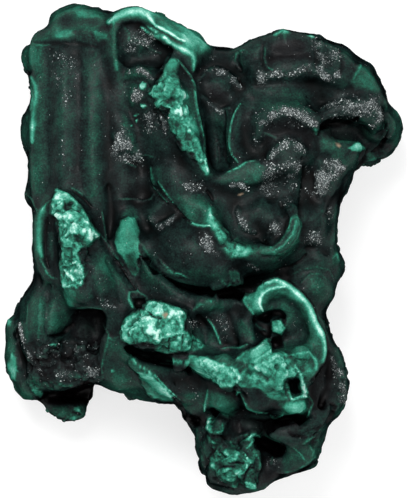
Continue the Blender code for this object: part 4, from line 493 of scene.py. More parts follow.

# Cracks, cut deep, and painted nearly black along them as shade
CRACKS = [
    # the cap and the brow
    (0.35, 0.3, -0.2, [(-27, 33.1), (-24, 32.9), (-20, 32.8), (-17, 32.2)]),
    # the flutes
    (0.3, 0.9, -0.3, [(-28.1, 28.4), (-27.8, 27.7)]),
    # the tongue
    (0.35, 1.0, -0.4, [(-7.3, 27.2), (-6.7, 27.8), (-6.4, 28.4)]),
    (0.2, 1.0, -0.4, [(-7, 9.7), (-5.6, 8), (-4.2, 6.3), (-2.9, 5), (-1.8, 4.1)]),
    (0.15, 0.8, -0.3, [(-8.2, 10), (-6.8, 8.3), (-5.4, 7)]),
    # the fan
    (0.15, 0.8, -0.25, [(0.1, 20), (0.5, 18), (0.7, 15), (1, 13.4)]),
    (0.15, 0.6, -0.2, [(3.7, 22), (3.4, 18), (3.8, 14), (4.6, 12.6)]),
    (0.2, 0.8, -0.3, [(5.6, 27.2), (6.3, 26.2)]),
    (0.3, 1.0, -0.5, [(18.6, 18.2), (19, 19.3), (20.4, 19.7), (22, 19.7), (23.2, 20.1), (24.4, 20.6),
        (25, 20.9)]),
    (0.3, 1.0, -0.5, [(29.8, 19), (29.4, 17.6), (28.6, 16.3), (27.4, 15.5)]),
    (0.2, 0.8, -0.3, [(26.6, 16), (26.2, 14.8), (25.4, 13.4)]),
    (0.15, 0.6, -0.2, [(16.2, 13.8), (16.4, 11), (16, 8), (15.6, 5)]),
    # the plate, the swirl and what lies under them
    (0.25, 1.0, -0.4, [(0.6, 9.4), (1.3, 8.6), (1.8, 7.8)]),
    (0.15, 0.8, -0.2, [(10, 1.3), (11.1, 0.5), (12.2, 1.4), (13.2, 2.8), (13.6, 4.4), (13.4, 5.8)]),
    (0.2, 0.9, -0.3, [(11.6, -3.6), (14, -2.9), (15.8, -1.8), (16.6, -0.8)]),
    (0.09, 0.35, -0.1, [(11, -0.2), (12.6, 0.9), (14.1, 2.8), (14.6, 4.8)]),
    (0.09, 0.35, -0.1, [(11.6, -0.9), (13.6, 0), (15, 1.8), (15.5, 4)]),
    # the belly
    (0.12, 0.9, -0.25, [(4.1, -5.3), (5, -5.5), (5.9, -5.2)]),
    (0.22, 1.0, -0.3, [(-10, -1.1), (-9.2, -1.6), (-8.2, -2), (-7, -3.2), (-5.6, -4.6), (-4, -5.8),
        (-2.2, -6.6), (-0.6, -7.2), (1, -7.5), (2.8, -7.3)]),
    (0.2, 1.0, -0.4, [(-10.2, -1.6), (-10.1, -2.8)]),
    # the ledge
    (0.2, 0.9, -0.3, [(-13.6, -1.8), (-11.8, -4.6), (-10.6, -6.4)]),
    (0.25, 0.9, -0.3, [(-20.6, 9.2), (-18.9, 8), (-17.6, 6.5)]),
    (0.3, 0.5, -0.25, [(-24.8, 5), (-25.2, 2), (-25.2, -1), (-24.6, -3)]),
    (0.2, 1.0, -0.3, [(-20.2, -9.9), (-18, -9.8), (-16.2, -10.1), (-15.7, -11.2)]),
    # the lower left
    (0.25, 1.0, -0.4, [(-24.8, -14), (-23.4, -13.9), (-22.2, -13.5), (-21.6, -12.8), (-20.6, -12)]),
    (0.22, 1.0, -0.3, [(-27.2, -17), (-26.4, -17.8), (-25, -17.8), (-24.3, -17.5)]),
    (0.18, 1.0, -0.3, [(-24.4, -16.1), (-22.8, -15.9)]),
    (0.18, 1.0, -0.3, [(-20.9, -26.3), (-20.2, -26.4), (-19.6, -26.7)]),
    (0.2, 0.7, -0.3, [(-25.2, -26.4), (-24.4, -26.6), (-23.6, -27.2)]),
    # the wedge
    (0.2, 1.0, -0.4, [(-7, -17.1), (-5, -16.8), (-3, -16.5), (-2.3, -16.8)]),
    (0.15, 1.0, -0.2, [(-6.8, -24.7), (-5.4, -24.8), (-4.4, -24.8)]),
    (0.2, 0.9, -0.3, [(-4.8, -23.6), (-3.4, -25.2), (-2.8, -26.6)]),
    # the bloom
    (0.35, 1.0, -0.3, [(-12.4, -15.7), (-11, -16.8), (-10, -17.6), (-8, -18.2), (-6, -18.6), (-4, -19),
        (-2.2, -19.4)]),
    (0.15, 0.8, -0.25, [(-8.7, -9.9), (-7.8, -10.8), (-6.5, -11.1)]),
    (0.12, 0.6, -0.3, [(-5.3, -14), (-5.4, -16.2)]),
    # the dark panel
    (0.12, 0.6, -0.3, [(-3.2, -13.6), (-3.3, -16)]),
    # the loop
    (0.15, 0.9, -0.3, [(9, -5.5), (12, -4.4), (14, -5.2), (16, -6.8), (17.8, -9), (18.6, -11.4),
        (20, -13.8)]),
    (0.35, 1.0, -0.4, [(8.3, -11.4), (9.6, -10.9), (11, -10.3), (12.2, -10.2), (13, -10.8), (13.2, -11.8)]),
    # the lower mass
    (0.3, 1.0, -0.4, [(5.1, -21.9), (5.3, -22.4), (5.1, -23.4)]),
    (0.35, 1.0, -0.5, [(11.6, -27.6), (13, -27.3), (14.6, -26.9), (16.2, -26.9)]),
    (0.3, 1.0, -0.4, [(16.2, -27), (15.2, -27.8), (12.6, -28.2)]),
    # the bottom lobe and the facets beside it
    (0.25, 0.3, -0.2, [(4, -27.2), (6.5, -27), (9, -28.2), (10, -28.7)]),
    (0.15, 1.0, -0.3, [(4, -34.3), (5.6, -34), (6.8, -34.2)]),
    (0.18, 1.0, -0.3, [(7.8, -34.4), (7, -35.6), (6.6, -36.8)]),
    (0.18, 1.0, -0.3, [(9.5, -34.8), (9, -37)]),
    (0.18, 1.0, -0.3, [(13.6, -36.2), (15.6, -35.6), (17.2, -34.8), (18.8, -33.8)]),
    (0.2, 0.9, -0.3, [(2.2, -32), (1.2, -33), (0.6, -34.6)]),
    (0.25, 0.9, -0.4, [(14.2, -29.6), (16.4, -30.2), (18, -29.6), (19, -28.2)]),
    (0.16, 0.9, -0.3, [(5.6, -30.6), (6.2, -31.6), (5.8, -32.2)]),
    (0.14, 0.8, -0.25, [(2.6, -31.8), (3, -32.8), (2.4, -33.4)]),
    (0.16, 0.9, -0.3, [(3, -34.8), (4.2, -34.6), (5.4, -34.8)]),
    (0.2, 0.9, -0.3, [(7.6, -34.8), (8.3, -35), (8.2, -34.4)]),
    (0.2, 0.8, -0.3, [(1.4, -29.8), (2.6, -30), (3.8, -30)]),
    (0.3, 0.7, -0.3, [(1.8, -36.6), (3.2, -37.6), (5, -38.4)]),
    # the right flank
    (0.25, 1.0, -0.4, [(20.6, -24.6), (21.4, -25.2), (20.8, -26.6), (20, -27.8)]),
    (0.25, 1.0, -0.4, [(19.8, -13.6), (20.2, -16), (20, -18), (18.6, -19.6), (17.6, -21)]),
]

# Broad swells and hollows of the stone, with no colour of their own: (half width, rise, [(x, y), ...])
FOLDS = [
    # the flutes
    (1.0, -0.12, [(-19.4, 29.6), (-19.6, 22), (-19.9, 13)]),
    (1.0, -0.12, [(-15.1, 30), (-15, 22), (-14.8, 13)]),
    (1.3, 0.12, [(-22.2, 30), (-22.2, 22), (-22.6, 12)]),
    (1.2, 0.12, [(-16.9, 31), (-17, 22), (-17.5, 9)]),
    (0.8, -0.12, [(-24.8, 30), (-24.6, 20), (-24.6, 11)]),
    (0.6, 0.35, [(-11.2, 23), (-10.8, 25.2), (-9.8, 24.2)]),
    (1.0, 0.35, [(-14, 18), (-12, 16.8), (-10.2, 14.4)]),
    # the hood
    (0.7, 0.4, [(-12, 28), (-10.2, 28.6), (-8.6, 27.8)]),
    (0.6, -0.4, [(-12.2, 26.6), (-9.8, 26.8), (-8.2, 25.4)]),
    (0.8, 0.5, [(-9.4, 35), (-7.4, 33.8), (-5.4, 32.8)]),
    # the tongue
    (0.6, 0.3, [(-8.4, 5.2), (-7.2, 3.6), (-5.6, 4.2), (-4.4, 5.4)]),
    # the fan
    (0.9, -0.25, [(8.6, 26), (12, 26.3), (15.6, 26), (18.4, 26.2), (22, 25.2)]),
    (1.0, 0.3, [(8.6, 27.4), (12, 28), (15, 28.2), (18, 28.8), (20.5, 28.2), (22.4, 27.4)]),
    (1.0, 0.45, [(8.6, 17.6), (9.6, 20.2), (11.4, 21.4), (13.6, 21.9), (16, 21), (18.2, 19.4)]),
    (0.8, 0.45, [(10.6, 14.4), (11.8, 15.9), (13.4, 16.8), (15, 16.3), (16.2, 15)]),
    (0.9, -0.3, [(9.6, 16.6), (11.2, 18.2), (13.6, 18.8), (16, 18), (17.2, 16.4)]),
    (0.7, 0.45, [(-0.5, 27), (0.8, 28.1), (2.2, 28.4), (3.6, 27.8), (4.8, 26.9), (6, 25.8)]),
    (0.5, 0.3, [(0, 24.2), (1.4, 22.9), (2.8, 21.9), (4.4, 22.4)]),
    (1.2, -0.1, [(0.6, 25.6), (2.2, 25.4), (4, 24.8)]),
    (1.1, 0.5, [(19.2, 22), (21.4, 22.6), (23.6, 22.9), (26, 22.8), (27.6, 21.4), (28.6, 19.4)]),
    (0.6, -0.35, [(16.1, 15.4), (16.5, 12), (16, 8), (15.8, 5)]),
    (1.0, 0.35, [(18.8, 14), (19.4, 10.4), (19.2, 6)]),
    (0.3, -0.2, [(9.7, 32.6), (9.5, 30.4), (10.2, 28.4)]),
    (0.3, -0.2, [(17.7, 33.4), (18.1, 31), (18.2, 28.8)]),
    (0.45, -0.35, [(22, 31.6), (22.5, 29.4), (22, 27.6)]),
    (0.45, -0.35, [(5.8, 31.4), (5.4, 30), (6.2, 28.4)]),
    (0.5, 0.3, [(18.9, 33), (19.1, 31), (19.2, 29)]),
    (1.0, 0.25, [(10.8, 31.2), (14, 31), (16.8, 31.2)]),
    # the plate, the swirl and what lies under them
    (0.6, -0.35, [(9.4, 1.4), (11.2, 0.9), (12.6, 2.6), (13.2, 5), (12.6, 7)]),
    (0.5, -0.3, [(9.6, -1.3), (12.6, -1.4), (15, 0.4), (16.2, 3), (15.8, 6)]),
    (0.8, 0.35, [(5.6, 6.4), (6.4, 4.2), (8.4, 2.6)]),
    (0.7, -0.35, [(16.8, 0), (18.6, 0.2), (20.4, -0.8)]),
    # the belly
    (0.8, 0.9, [(-7.2, -4.4), (-5, -6.3), (-3, -7.5), (-0.5, -8.5), (2.2, -9)]),
    (0.7, 0.8, [(-8, -2), (-7, -3), (-6, -4), (-5, -5), (-3.4, -6), (-1.6, -6.8)]),
    (0.7, 0.7, [(1.6, -5.8), (4, -5.4), (6.4, -5)]),
    (0.7, 0.7, [(2.2, -8.8), (4, -8.9), (6, -8.8)]),
    # the ledge
    (0.8, -0.35, [(-15, 10), (-14.6, 6), (-14.9, 2)]),
    (0.6, -0.3, [(-18.4, -1.6), (-17.8, -5), (-16.8, -8.6)]),
    (0.6, -0.3, [(-15.2, -1.6), (-13.6, -5), (-13, -8.4)]),
    (0.7, -0.35, [(-24.6, -6), (-25, -10), (-25, -13.4)]),
    (0.7, -0.4, [(-29.9, -9), (-30, -14), (-29.2, -18), (-28.6, -21)]),
    # the lower left
    (0.9, 0.45, [(-28.8, -12), (-28.2, -15.6), (-26.8, -18.4)]),
    (0.6, -0.45, [(-25.4, -16.8), (-23, -17.4), (-21.4, -17), (-20, -18)]),
    # the wedge
    (0.8, 0.5, [(-10, -17), (-8, -18), (-5, -18.4), (-3, -18.8)]),
    (0.8, 0.9, [(-11.4, -17.8), (-10, -18.8), (-8, -19.5), (-5, -19.9), (-2.6, -20.1)]),
    (0.5, 1.3, [(-6.6, -17.7), (-4.4, -17.8), (-2.2, -18)]),
    # the dark panel
    (0.7, 0.35, [(-3.4, -10.2), (-1, -9.6), (1.4, -9.4)]),
    (0.7, -0.35, [(-0.6, -10.8), (0.4, -12.6), (0.6, -15)]),
    (0.7, -0.35, [(4.2, -10.6), (4.6, -13), (5.4, -15)]),
    (0.6, 0.3, [(6.4, -11.4), (7.6, -12.8), (8, -14.6)]),
    # the loop
    (0.8, -0.25, [(11, -8.8), (12.8, -8.2), (14.6, -9.2), (16, -11.4), (16.4, -14)]),
    # the lower mass
    (0.6, -0.4, [(11.6, -18.6), (13.2, -19.2), (14.6, -18)]),
    (0.5, -0.4, [(7.4, -19.6), (9, -19.8), (10.4, -20.8)]),
    # the bottom lobe and the facets beside it
    (0.5, -0.4, [(3.6, -29.8), (5, -30.6), (6.6, -30.2)]),
    (0.5, -0.4, [(2.6, -33.4), (4.2, -33), (5.6, -33.6), (6.4, -35)]),
    (0.5, -0.4, [(3, -36), (4.8, -35.4), (5.6, -36.8)]),
    (0.6, -0.4, [(14, -29.4), (16, -29.8), (18, -28.8)]),
    (1.0, 1.6, [(2.6, -27.8), (6, -27.6), (8.8, -28.4), (11, -28.6)]),
    (0.8, 0.9, [(11.6, -28.6), (13.4, -28.6), (15.2, -28.6)]),
    # the right flank
    (0.7, -0.4, [(20.2, -15), (20.6, -18), (20.2, -22), (19, -25)]),
    (0.6, 0.3, [(21.4, -16), (22.6, -19.6), (22.6, -24)]),
]

# Domes, with no colour of their own: (edge, rise, [(x, y), ...])
DOMES = [
    (1.2, 0.45, [(10.4, 33), (10.2, 30.6), (11.4, 29), (14, 28.9), (16.4, 29.6), (17.6, 31.4), (17.2, 33.4),
        (14, 34.4), (11.6, 34)]),
    (1.0, 0.3, [(6.2, 31.2), (6.6, 29), (8.4, 28.4), (9.2, 30.4), (9.2, 32), (7.4, 32)]),
    (1.0, 0.25, [(19.8, 32.4), (19.8, 30), (21.4, 29.4), (23.6, 29.8), (23.2, 31.2), (21.4, 32.4)]),
    (1.2, 0.3, [(0.6, 26.6), (2.4, 27.2), (4.6, 26), (4.4, 23.8), (2.6, 22.8), (0.8, 24)]),
    (1.0, 0.25, [(30, 22.6), (31.4, 22), (31.8, 19.6), (31.2, 17), (30.2, 17.6)]),
]

# Each layer of marks and the tone it brings: 0 is the nearly black painted shade of cracks and caverns, 1 the
# palest crumbs
SLATE = 0.15
LAYERS = [
    (0.40, GREEN_LINES, GREEN_PATCHES),
    (0.75, [], PALE_PATCHES),
    (0.08, [], DARK_PATCHES),
    (0.82, PALE_LINES, []),
    (0.00, CRACKS, CAVERN_SHADE),
]

# Crystals: (edge or half width, how thick they lie, [(x, y), ...])
CRYSTAL_PATCHES = [
    # the flutes
    (1.2, 0.35, [(-24, 31.4), (-20, 31.2), (-20, 26), (-23.6, 26)]),
    (0.3, 0.9, [(-11.4, 23.4), (-11, 25.4), (-10.2, 25.6), (-9.8, 24.4), (-10.4, 23.2)]),
    (0.6, 0.7, [(-9.6, 21.6), (-7, 22), (-5.4, 20.6), (-6, 18.4), (-8.6, 18)]),
    (0.4, 0.85, [(-13.6, 18.6), (-12.4, 18.6), (-11, 16.4), (-9.6, 14.6), (-9.4, 12.8), (-12.2, 13.8),
        (-14.7, 14.4), (-14.6, 15.8)]),
    (0.6, 0.2, [(-14.2, 22), (-12.2, 21.6), (-11.6, 18), (-14, 18)]),
    # the hood
    (0.3, 1.0, [(-11.2, 35), (-9.4, 34.8), (-9.3, 34.2), (-11, 34.2)]),
    (0.3, 1.0, [(-9.4, 33.6), (-8, 33.3), (-7.7, 32.2), (-9.2, 32.5)]),
    (0.5, 0.75, [(-12.4, 32), (-6.8, 32), (-6.6, 30.8), (-12, 30.4)]),
    (0.4, 0.6, [(-11.8, 35), (-8, 34.4), (-6.8, 31.4), (-9, 30.8), (-11.8, 31.6)]),
    (0.3, 0.8, [(-5.6, 32), (-4.6, 31.8), (-4.4, 31.2), (-5.2, 31.2)]),
    # the tongue
    (0.3, 0.9, [(-3.3, 10.9), (-1.2, 10.7), (0.6, 9.9), (0.6, 8.8), (-1.6, 9), (-3, 9.8)]),
    (0.4, 0.35, [(-6, 14.4), (-4, 14), (-3.8, 12), (-5.4, 12)]),
    # the fan
    (0.4, 0.9, [(8.8, 28.3), (9.8, 28.1), (9.9, 26), (9, 26.1)]),
    (0.4, 0.95, [(18.6, 29), (20, 28.5), (21.9, 28.4), (22, 27.2), (20.4, 26.8), (19, 27.1)]),
    (1.0, 0.15, [(8.4, 22.6), (18.4, 22.6), (18.6, 19), (8, 18.6)]),
    (1.0, 0.4, [(19.6, 24.6), (22.6, 25), (28, 24.6), (28.4, 20.4), (26, 21), (19.4, 21.2)]),
    (0.4, 0.8, [(18.4, 14), (21.5, 14.3), (23, 13.2), (22, 11.6), (18.8, 10.8)]),
    (0.8, 0.4, [(10, 14), (16, 14), (16, 8.6), (13, 7), (9.6, 11)]),
    (0.6, 0.3, [(17.8, 32.8), (22, 31.6), (22.6, 29.4), (18.6, 29.4)]),
    # the plate, the swirl and what lies under them
    (0.2, 1.0, [(-0.4, 2.7), (0.6, 2.7), (1.6, 1), (2.8, -0.4), (2.6, -1.1), (1, -0.7), (-0.4, 0.6)]),
    (0.3, 0.9, [(18, 12.2), (20.2, 11.7), (20.2, 9), (18.6, 8), (17.8, 9)]),
    (0.3, 0.85, [(8.8, 9.8), (11, 10.9), (13.2, 10.9), (12.7, 9), (10.6, 8.2), (9.2, 8.5)]),
    (0.2, 1.0, [(10.3, 1.9), (10.8, 3.7), (12, 5.1), (12.9, 5.2), (12.4, 3.7), (11.6, 2.2), (10.8, 1.5)]),
    (0.6, 0.5, [(16.4, 3.4), (18.8, 3.2), (19, 0.8), (16.6, 0.6)]),
    # the ledge
    (0.6, 0.12, [(-18.4, -3), (-15.8, -3.6), (-15, -8.6), (-18.8, -8.6)]),
    # the lower left
    (0.8, 0.25, [(-24, -19), (-21, -19.4), (-20.4, -21.4), (-24, -21)]),
    (0.8, 0.15, [(-28, -14.6), (-16.6, -14.6), (-16.4, -20.8), (-28, -20.6)]),
    # the wedge
    (0.8, 0.15, [(-5, -20), (0, -21), (0, -24.6), (-2.6, -24.6)]),
    # the dark panel
    (0.4, 0.75, [(-2.2, -11.2), (-1, -11.2), (0.4, -12.2), (-1.6, -12.6)]),
    (0.5, 0.4, [(2.8, -11.8), (5, -11.6), (5, -14.8), (3, -14.6)]),
    (0.6, 0.3, [(1, -10.4), (6, -10.4), (5.6, -12), (1.6, -11.8)]),
    # the loop
    (0.5, 0.45, [(14, -11), (16.2, -11.4), (15.8, -13.2), (14, -12.8)]),
    # the bottom lobe and the facets beside it
    (0.6, 0.35, [(11, -35.6), (12.4, -33.6), (10.4, -33.4), (10, -35.4)]),
    # the right flank
    (0.5, 0.5, [(21.6, -19), (23, -20), (23, -25), (21.6, -24)]),
]

CRYSTAL_LINES = [
    # the flutes
    (0.55, 0.3, [(-22, 29), (-21.6, 26), (-22, 20), (-22.2, 14)]),
    # the hood
    (0.35, 1.0, [(-11.8, 28), (-10.4, 28.6), (-9, 28), (-7.9, 26.9)]),
    # the tongue
    (0.35, 1.0, [(-8.3, 5), (-7.6, 3.9), (-6.4, 3.4), (-5.4, 4.4), (-4.6, 5)]),
    # the fan
    (0.45, 1.0, [(-0.4, 27.4), (0.8, 28.3), (2.2, 28.5), (3.6, 27.9), (4.8, 27), (6, 25.9)]),
    (0.4, 0.85, [(0.1, 24), (1.4, 22.8), (2.8, 21.7), (3.3, 22)]),
    (0.25, 0.6, [(0.7, 30.4), (2.2, 30.7), (3.1, 29.8)]),
    (0.65, 1.0, [(9.4, 20.1), (11, 21.2), (13, 21.9), (15, 21.7), (16.6, 20.8), (18.2, 19.7)]),
    (0.55, 1.0, [(11, 14.4), (12.2, 16.2), (13.6, 17), (15.2, 16.5), (16.2, 15.4)]),
    (0.4, 0.9, [(8.2, 18), (8.4, 16), (8.9, 14.8)]),
    (0.4, 0.75, [(9, 28), (10.2, 27.3), (12, 28.1), (12.9, 27.6)]),
    (0.45, 0.55, [(13.6, 27.7), (15.2, 28.2), (16.2, 28.8), (17.2, 29.4)]),
    (0.9, 0.55, [(18.2, 33.6), (18.8, 31.5), (19.2, 30), (18.6, 28.6)]),
    (0.6, 0.9, [(19.2, 22.2), (21.4, 22.4), (23.6, 22.8), (26, 22.6), (27.4, 23.8)]),
    (0.6, 0.5, [(27.2, 19.6), (28.6, 21.2), (28.2, 23)]),
    (0.3, 0.85, [(16.3, 13.6), (16.8, 12), (16.6, 10.8)]),
    # the plate, the swirl and what lies under them
    (0.45, 0.9, [(16.4, 9.8), (17, 9.3), (17.8, 8.2)]),
    (0.4, 0.6, [(20.4, 7), (20.4, 5.6), (20.7, 4.6)]),
    (0.4, 0.85, [(4.6, 10), (6.2, 10.2), (7.1, 9.2)]),
    (0.45, 1.0, [(5.7, 6), (6.1, 4.6), (6.8, 3.7), (8.3, 2.6)]),
    (0.3, 0.65, [(7.3, -2.4), (8.1, -3), (9, -3.3)]),
    # the ledge
    (0.35, 0.6, [(-15.8, -9), (-14.6, -9.4), (-13.8, -9)]),
    # the lower left
    (0.22, 1.0, [(-29.4, -12), (-28.9, -14), (-28.4, -16), (-27.8, -17), (-26.6, -18.3)]),
    (0.35, 0.8, [(-26.4, -19), (-25.5, -20.2)]),
    (0.45, 0.9, [(-22.6, -14.9), (-21, -15.4), (-20, -16.4)]),
    (0.4, 1.0, [(-19.2, -18), (-18.4, -16.6), (-17, -15.8)]),
    (0.5, 1.0, [(-18.3, -19), (-17.5, -20.1), (-16.5, -18.9)]),
    # the right flank
    (0.3, 0.9, [(20.5, -17), (21.3, -18.8), (21.2, -20.2)]),
]

# Broken, crumbling ground: (edge, strength, [(x, y), ...])
CRUMBLED = [
    (0.4, 1.0, [(-7, 28), (-4.4, 28), (-3, 24), (-1.4, 18), (1.2, 12), (-1.2, 14), (-3.4, 15.8), (-5.4, 19),
        (-7.8, 22), (-8.8, 25)]),
    (0.5, 1.0, [(-23.6, 9.4), (-20, 7), (-16.4, 2), (-18, 0), (-18.6, -6), (-20.4, -7), (-22.6, -5),
        (-22.6, 0), (-24, 6)]),
    (0.5, 1.0, [(-13, -13.6), (-9.6, -8.4), (-3, -9.2), (-2.6, -13), (0.4, -15.4), (-3, -16.8), (-11, -15)]),
    (0.5, 0.6, [(-1.6, -17), (6, -18.8), (10.6, -16.4), (14, -16.4), (19, -17.6), (17, -20.6), (16.6, -23.4),
        (13.4, -23.8), (9, -22), (2, -21.8)]),
    (0.5, 1.0, [(1, -30), (8, -29.6), (9.4, -34), (8.6, -38), (4, -38), (1, -35)]),
    (0.4, 0.9, [(1, 6), (3, 3.6), (7.6, 0), (5, -1.6), (2.4, 0.8)]),
    (0.5, 0.9, [(24.6, 12), (28.6, 13.4), (29.6, 15.4), (26.4, 16)]),
    (0.6, 0.8, [(-28, -14.4), (-20, -15), (-16.4, -14.6), (-16.4, -21), (-20, -22), (-28, -22.4)]),
    (0.4, 0.8, [(0.6, -26.6), (3.6, -28), (3.4, -31.6), (0.8, -30.4)]),
    (0.4, 0.5, [(10.8, -11), (13.4, -11), (12.8, -13.8), (10.8, -13.2)]),
    (0.5, 0.6, [(21, -18), (23.4, -19), (23.4, -26), (21.6, -25)]),
    (0.5, 0.6, [(-25, -25.4), (-19, -25.4), (-19.4, -28), (-24, -27)]),
    (0.5, 0.6, [(15, -28.6), (19.6, -28), (19, -33), (16.4, -31)]),
    (0.5, 0.5, [(-1.6, -28.6), (0.4, -28.6), (0.4, -35.4), (-1, -33)]),
]

# Brown to purple ground, where the stone isn't green: (edge, strength, [(x, y), ...])
BROWN_PATCHES = [
    (0.5, 0.9, [(-20.4, -9.8), (-15.8, -10), (-15.6, -14), (-16.2, -16), (-19.4, -15.6), (-21, -14),
        (-21.4, -12.4)]),
    (0.8, 0.6, [(-28, -15.6), (-24.4, -16.4), (-20, -15.8), (-17, -15.4), (-16.6, -18), (-19, -19.6),
        (-23, -20.6), (-27, -20)]),
    (0.4, 1.0, [(-26, -24), (-20, -22), (-18.4, -21.2), (-18, -24.8), (-26, -25.2)]),
    (0.4, 0.8, [(18.8, 18.4), (20.4, 19.4), (23.4, 19.8), (26, 19.2), (26.6, 17.6), (23.6, 17.4),
        (20, 17.4)]),
    (0.3, 0.9, [(2.4, -6.4), (5, -6.2), (6.4, -7.6), (5, -8.2), (2.6, -8)]),
    (0.6, 0.9, [(4, -26.8), (9, -27), (12, -27.4), (16, -27.6), (15, -30.4), (10, -29.4), (4.4, -29)]),
    (0.5, 0.7, [(9.8, -33.2), (12.6, -33.6), (12.8, -36.2), (9.8, -37.4), (9.4, -35.6)]),
    (0.3, 1.0, [(8.4, -30.6), (10.6, -30.4), (13.3, -31.4), (12.9, -33.2), (11.2, -32.6), (8.6, -32)]),
    (0.6, 0.6, [(17.8, -20.4), (20, -17), (21, -20), (20.6, -25), (18.4, -26.6), (17.4, -23)]),
    (1.0, 0.8, [(10.6, 29.4), (10.4, 32.6), (14, 33.8), (17, 33.2), (17.2, 30.4), (14, 29.2)]),
    (0.8, 0.5, [(-14.2, 12.4), (-9.6, 12.4), (-8.4, 9.2), (-9.4, 6.4), (-13, 8.4), (-14.4, 9.6)]),
    (0.8, 0.9, [(0.8, 25.6), (2.4, 26.2), (4, 25.2), (3.4, 23.6), (1.4, 23.8)]),
    (0.8, 0.4, [(17.4, 13), (20, 12.4), (20.4, 8), (18, 7.6)]),
    (0.8, 0.7, [(9.4, 18.4), (11, 20.2), (14, 20.8), (17, 19.6), (18, 18.2), (17, 15.4), (15.6, 17.2),
        (12.6, 17.4), (10.4, 15)]),
    (0.8, 0.6, [(11.4, 13.4), (12.4, 15.6), (14, 16), (15.6, 14.6), (15.8, 12.6), (12.6, 12)]),
]

# Ochre specks: (x, y, radius)
OCHRE_SPECKS = [(6.3, 8.7, 0.35), (21.8, 16.6, 0.3), (-5.9, -10.5, 0.6)]


# Noise on the points of a mesh, as layers of (amount, size in mm, salt)

EDGE_WOBBLE = [(0.18, 0.9, 5), (0.10, 0.35, 6)]
SLATE_DRIFT = [(0.05, 4.5, 9), (0.04, 1.7, 10)]
GREEN_DRIFT = [(0.10, 2.2, 15), (0.05, 0.9, 16)]
SIDE_GREEN = [(1.0, 9.0, 11), (0.5, 3.5, 12)]
SIDE_BROKEN = [(1.0, 6.5, 13), (0.6, 2.2, 14)]
SMOOTH_SWELL = [(0.10, 2.6, 41), (0.05, 1.1, 42), (0.03, 0.5, 43)]
CRUST_GRAIN = [(0.12, 0.42, 44)]
BROKEN_SWELL = [(0.35, 1.3, 62), (0.15, 0.6, 63)]
SIDE_SWELL = [(0.50, 3.2, 54), (0.25, 1.5, 52), (0.10, 0.7, 55)]
CRYSTAL_CLUSTERS = [(1.0, 1.1, 71), (0.5, 0.5, 72)]


def ramp(value, low, high):
    """0 below low, 1 above high, smooth between."""
    share = np.clip((value - low) / (high - low), 0, 1)
    return share * share * (3 - 2 * share)


def lattice(cell, salt):
    """A number from 0 to 1 for each whole-numbered cell, the same every time."""
    mixed = cell[:, 0] * 73856093 ^ cell[:, 1] * 19349663 ^ cell[:, 2] * 83492791 ^ salt * 40503
    mixed = (mixed ^ mixed >> 15) * 2246822519 & 0xFFFFFFFF
    mixed = (mixed ^ mixed >> 13) * 3266489917 & 0xFFFFFFFF
    return ((mixed ^ mixed >> 16) & 0xFFFF) / 65535.0


def cloud(points, size, salt):
    """Smooth noise from -1 to 1 with lumps about size mm apart."""
    grid = points / size
    low = np.floor(grid)
    part = grid - low
    part = part * part * (3 - 2 * part)
    low = low.astype(np.int64)
    total = np.zeros(len(points))
    for corner in np.ndindex(2, 2, 2):
        share = np.where(corner, part, 1 - part).prod(axis=1)
        total += share * lattice(low + corner, salt)
    return 2 * total - 1


def clouds(points, layers, base=0.0):
    """Layers of smooth noise on top of a base value."""
    for amount, size, salt in layers:
        base = base + amount * cloud(points, size, salt)
    return base


def shards(points, size, salt):
    """Facets about size mm wide, each tilted its own way: their height, and the gap to the next one."""
    grid = points / size
    low = np.floor(grid).astype(np.int64)
    nearest = np.full(len(points), 9.0)
    second = nearest.copy()
    height = np.zeros(len(points))
    for step in np.ndindex(3, 3, 3):
        cell = low + step - 1
        seed = cell + np.stack([lattice(cell, salt + k) for k in range(3)], axis=1)
        away = grid - seed
        distance = (away ** 2).sum(axis=1)
        tilt = np.stack([lattice(cell, salt + 3 + k) for k in range(3)], axis=1) - 0.5
        facet = lattice(cell, salt + 6) - 0.5 + (away * tilt).sum(axis=1) * 1.6
        nearer = distance < nearest
        second = np.where(nearer, nearest, np.minimum(second, distance))
        height = np.where(nearer, facet, height)
        nearest = np.where(nearer, distance, nearest)
    return height, np.sqrt(second) - np.sqrt(nearest)


# Marks on the face

def within(flat, outline, margin):
    """The points in the outline's box, grown by the margin."""
    low, high = outline.min(axis=0) - margin, outline.max(axis=0) + margin
    return np.flatnonzero(((flat > low) & (flat < high)).all(axis=1))


def along(spots, start, step):
    """How far each spot lies along the step, from 0 to 1, and how far away from it."""
    share = np.clip(((spots - start) @ step) / (step @ step), 0, 1)
    return share, np.linalg.norm(spots - start - share[:, None] * step, axis=1)


def line_weight(flat, line, half_width):
    """Which points lie by the line and how much of the mark each gets: 1 on it, narrowing to the ends."""
    stations = np.array(line, float)
    near = within(flat, stations, 2.2 * half_width)
    spots = flat[near]
    steps = np.diff(stations, axis=0)
    lengths = np.linalg.norm(steps, axis=1)
    starts = np.concatenate([[0], np.cumsum(lengths)])
    best = np.full(len(near), 1e9)
    travelled = np.zeros(len(near))
    for station, step, start, length in zip(stations, steps, starts, lengths):
        share, distance = along(spots, station, step)
        closer = distance < best
        best = np.where(closer, distance, best)
        travelled = np.where(closer, (start + share * length) / starts[-1], travelled)
    width = half_width * (0.45 + 0.55 * np.sqrt(np.sin(pi * np.clip(travelled, 0.0, 1.0))))
    return near, np.exp(-(best / width) ** 2)


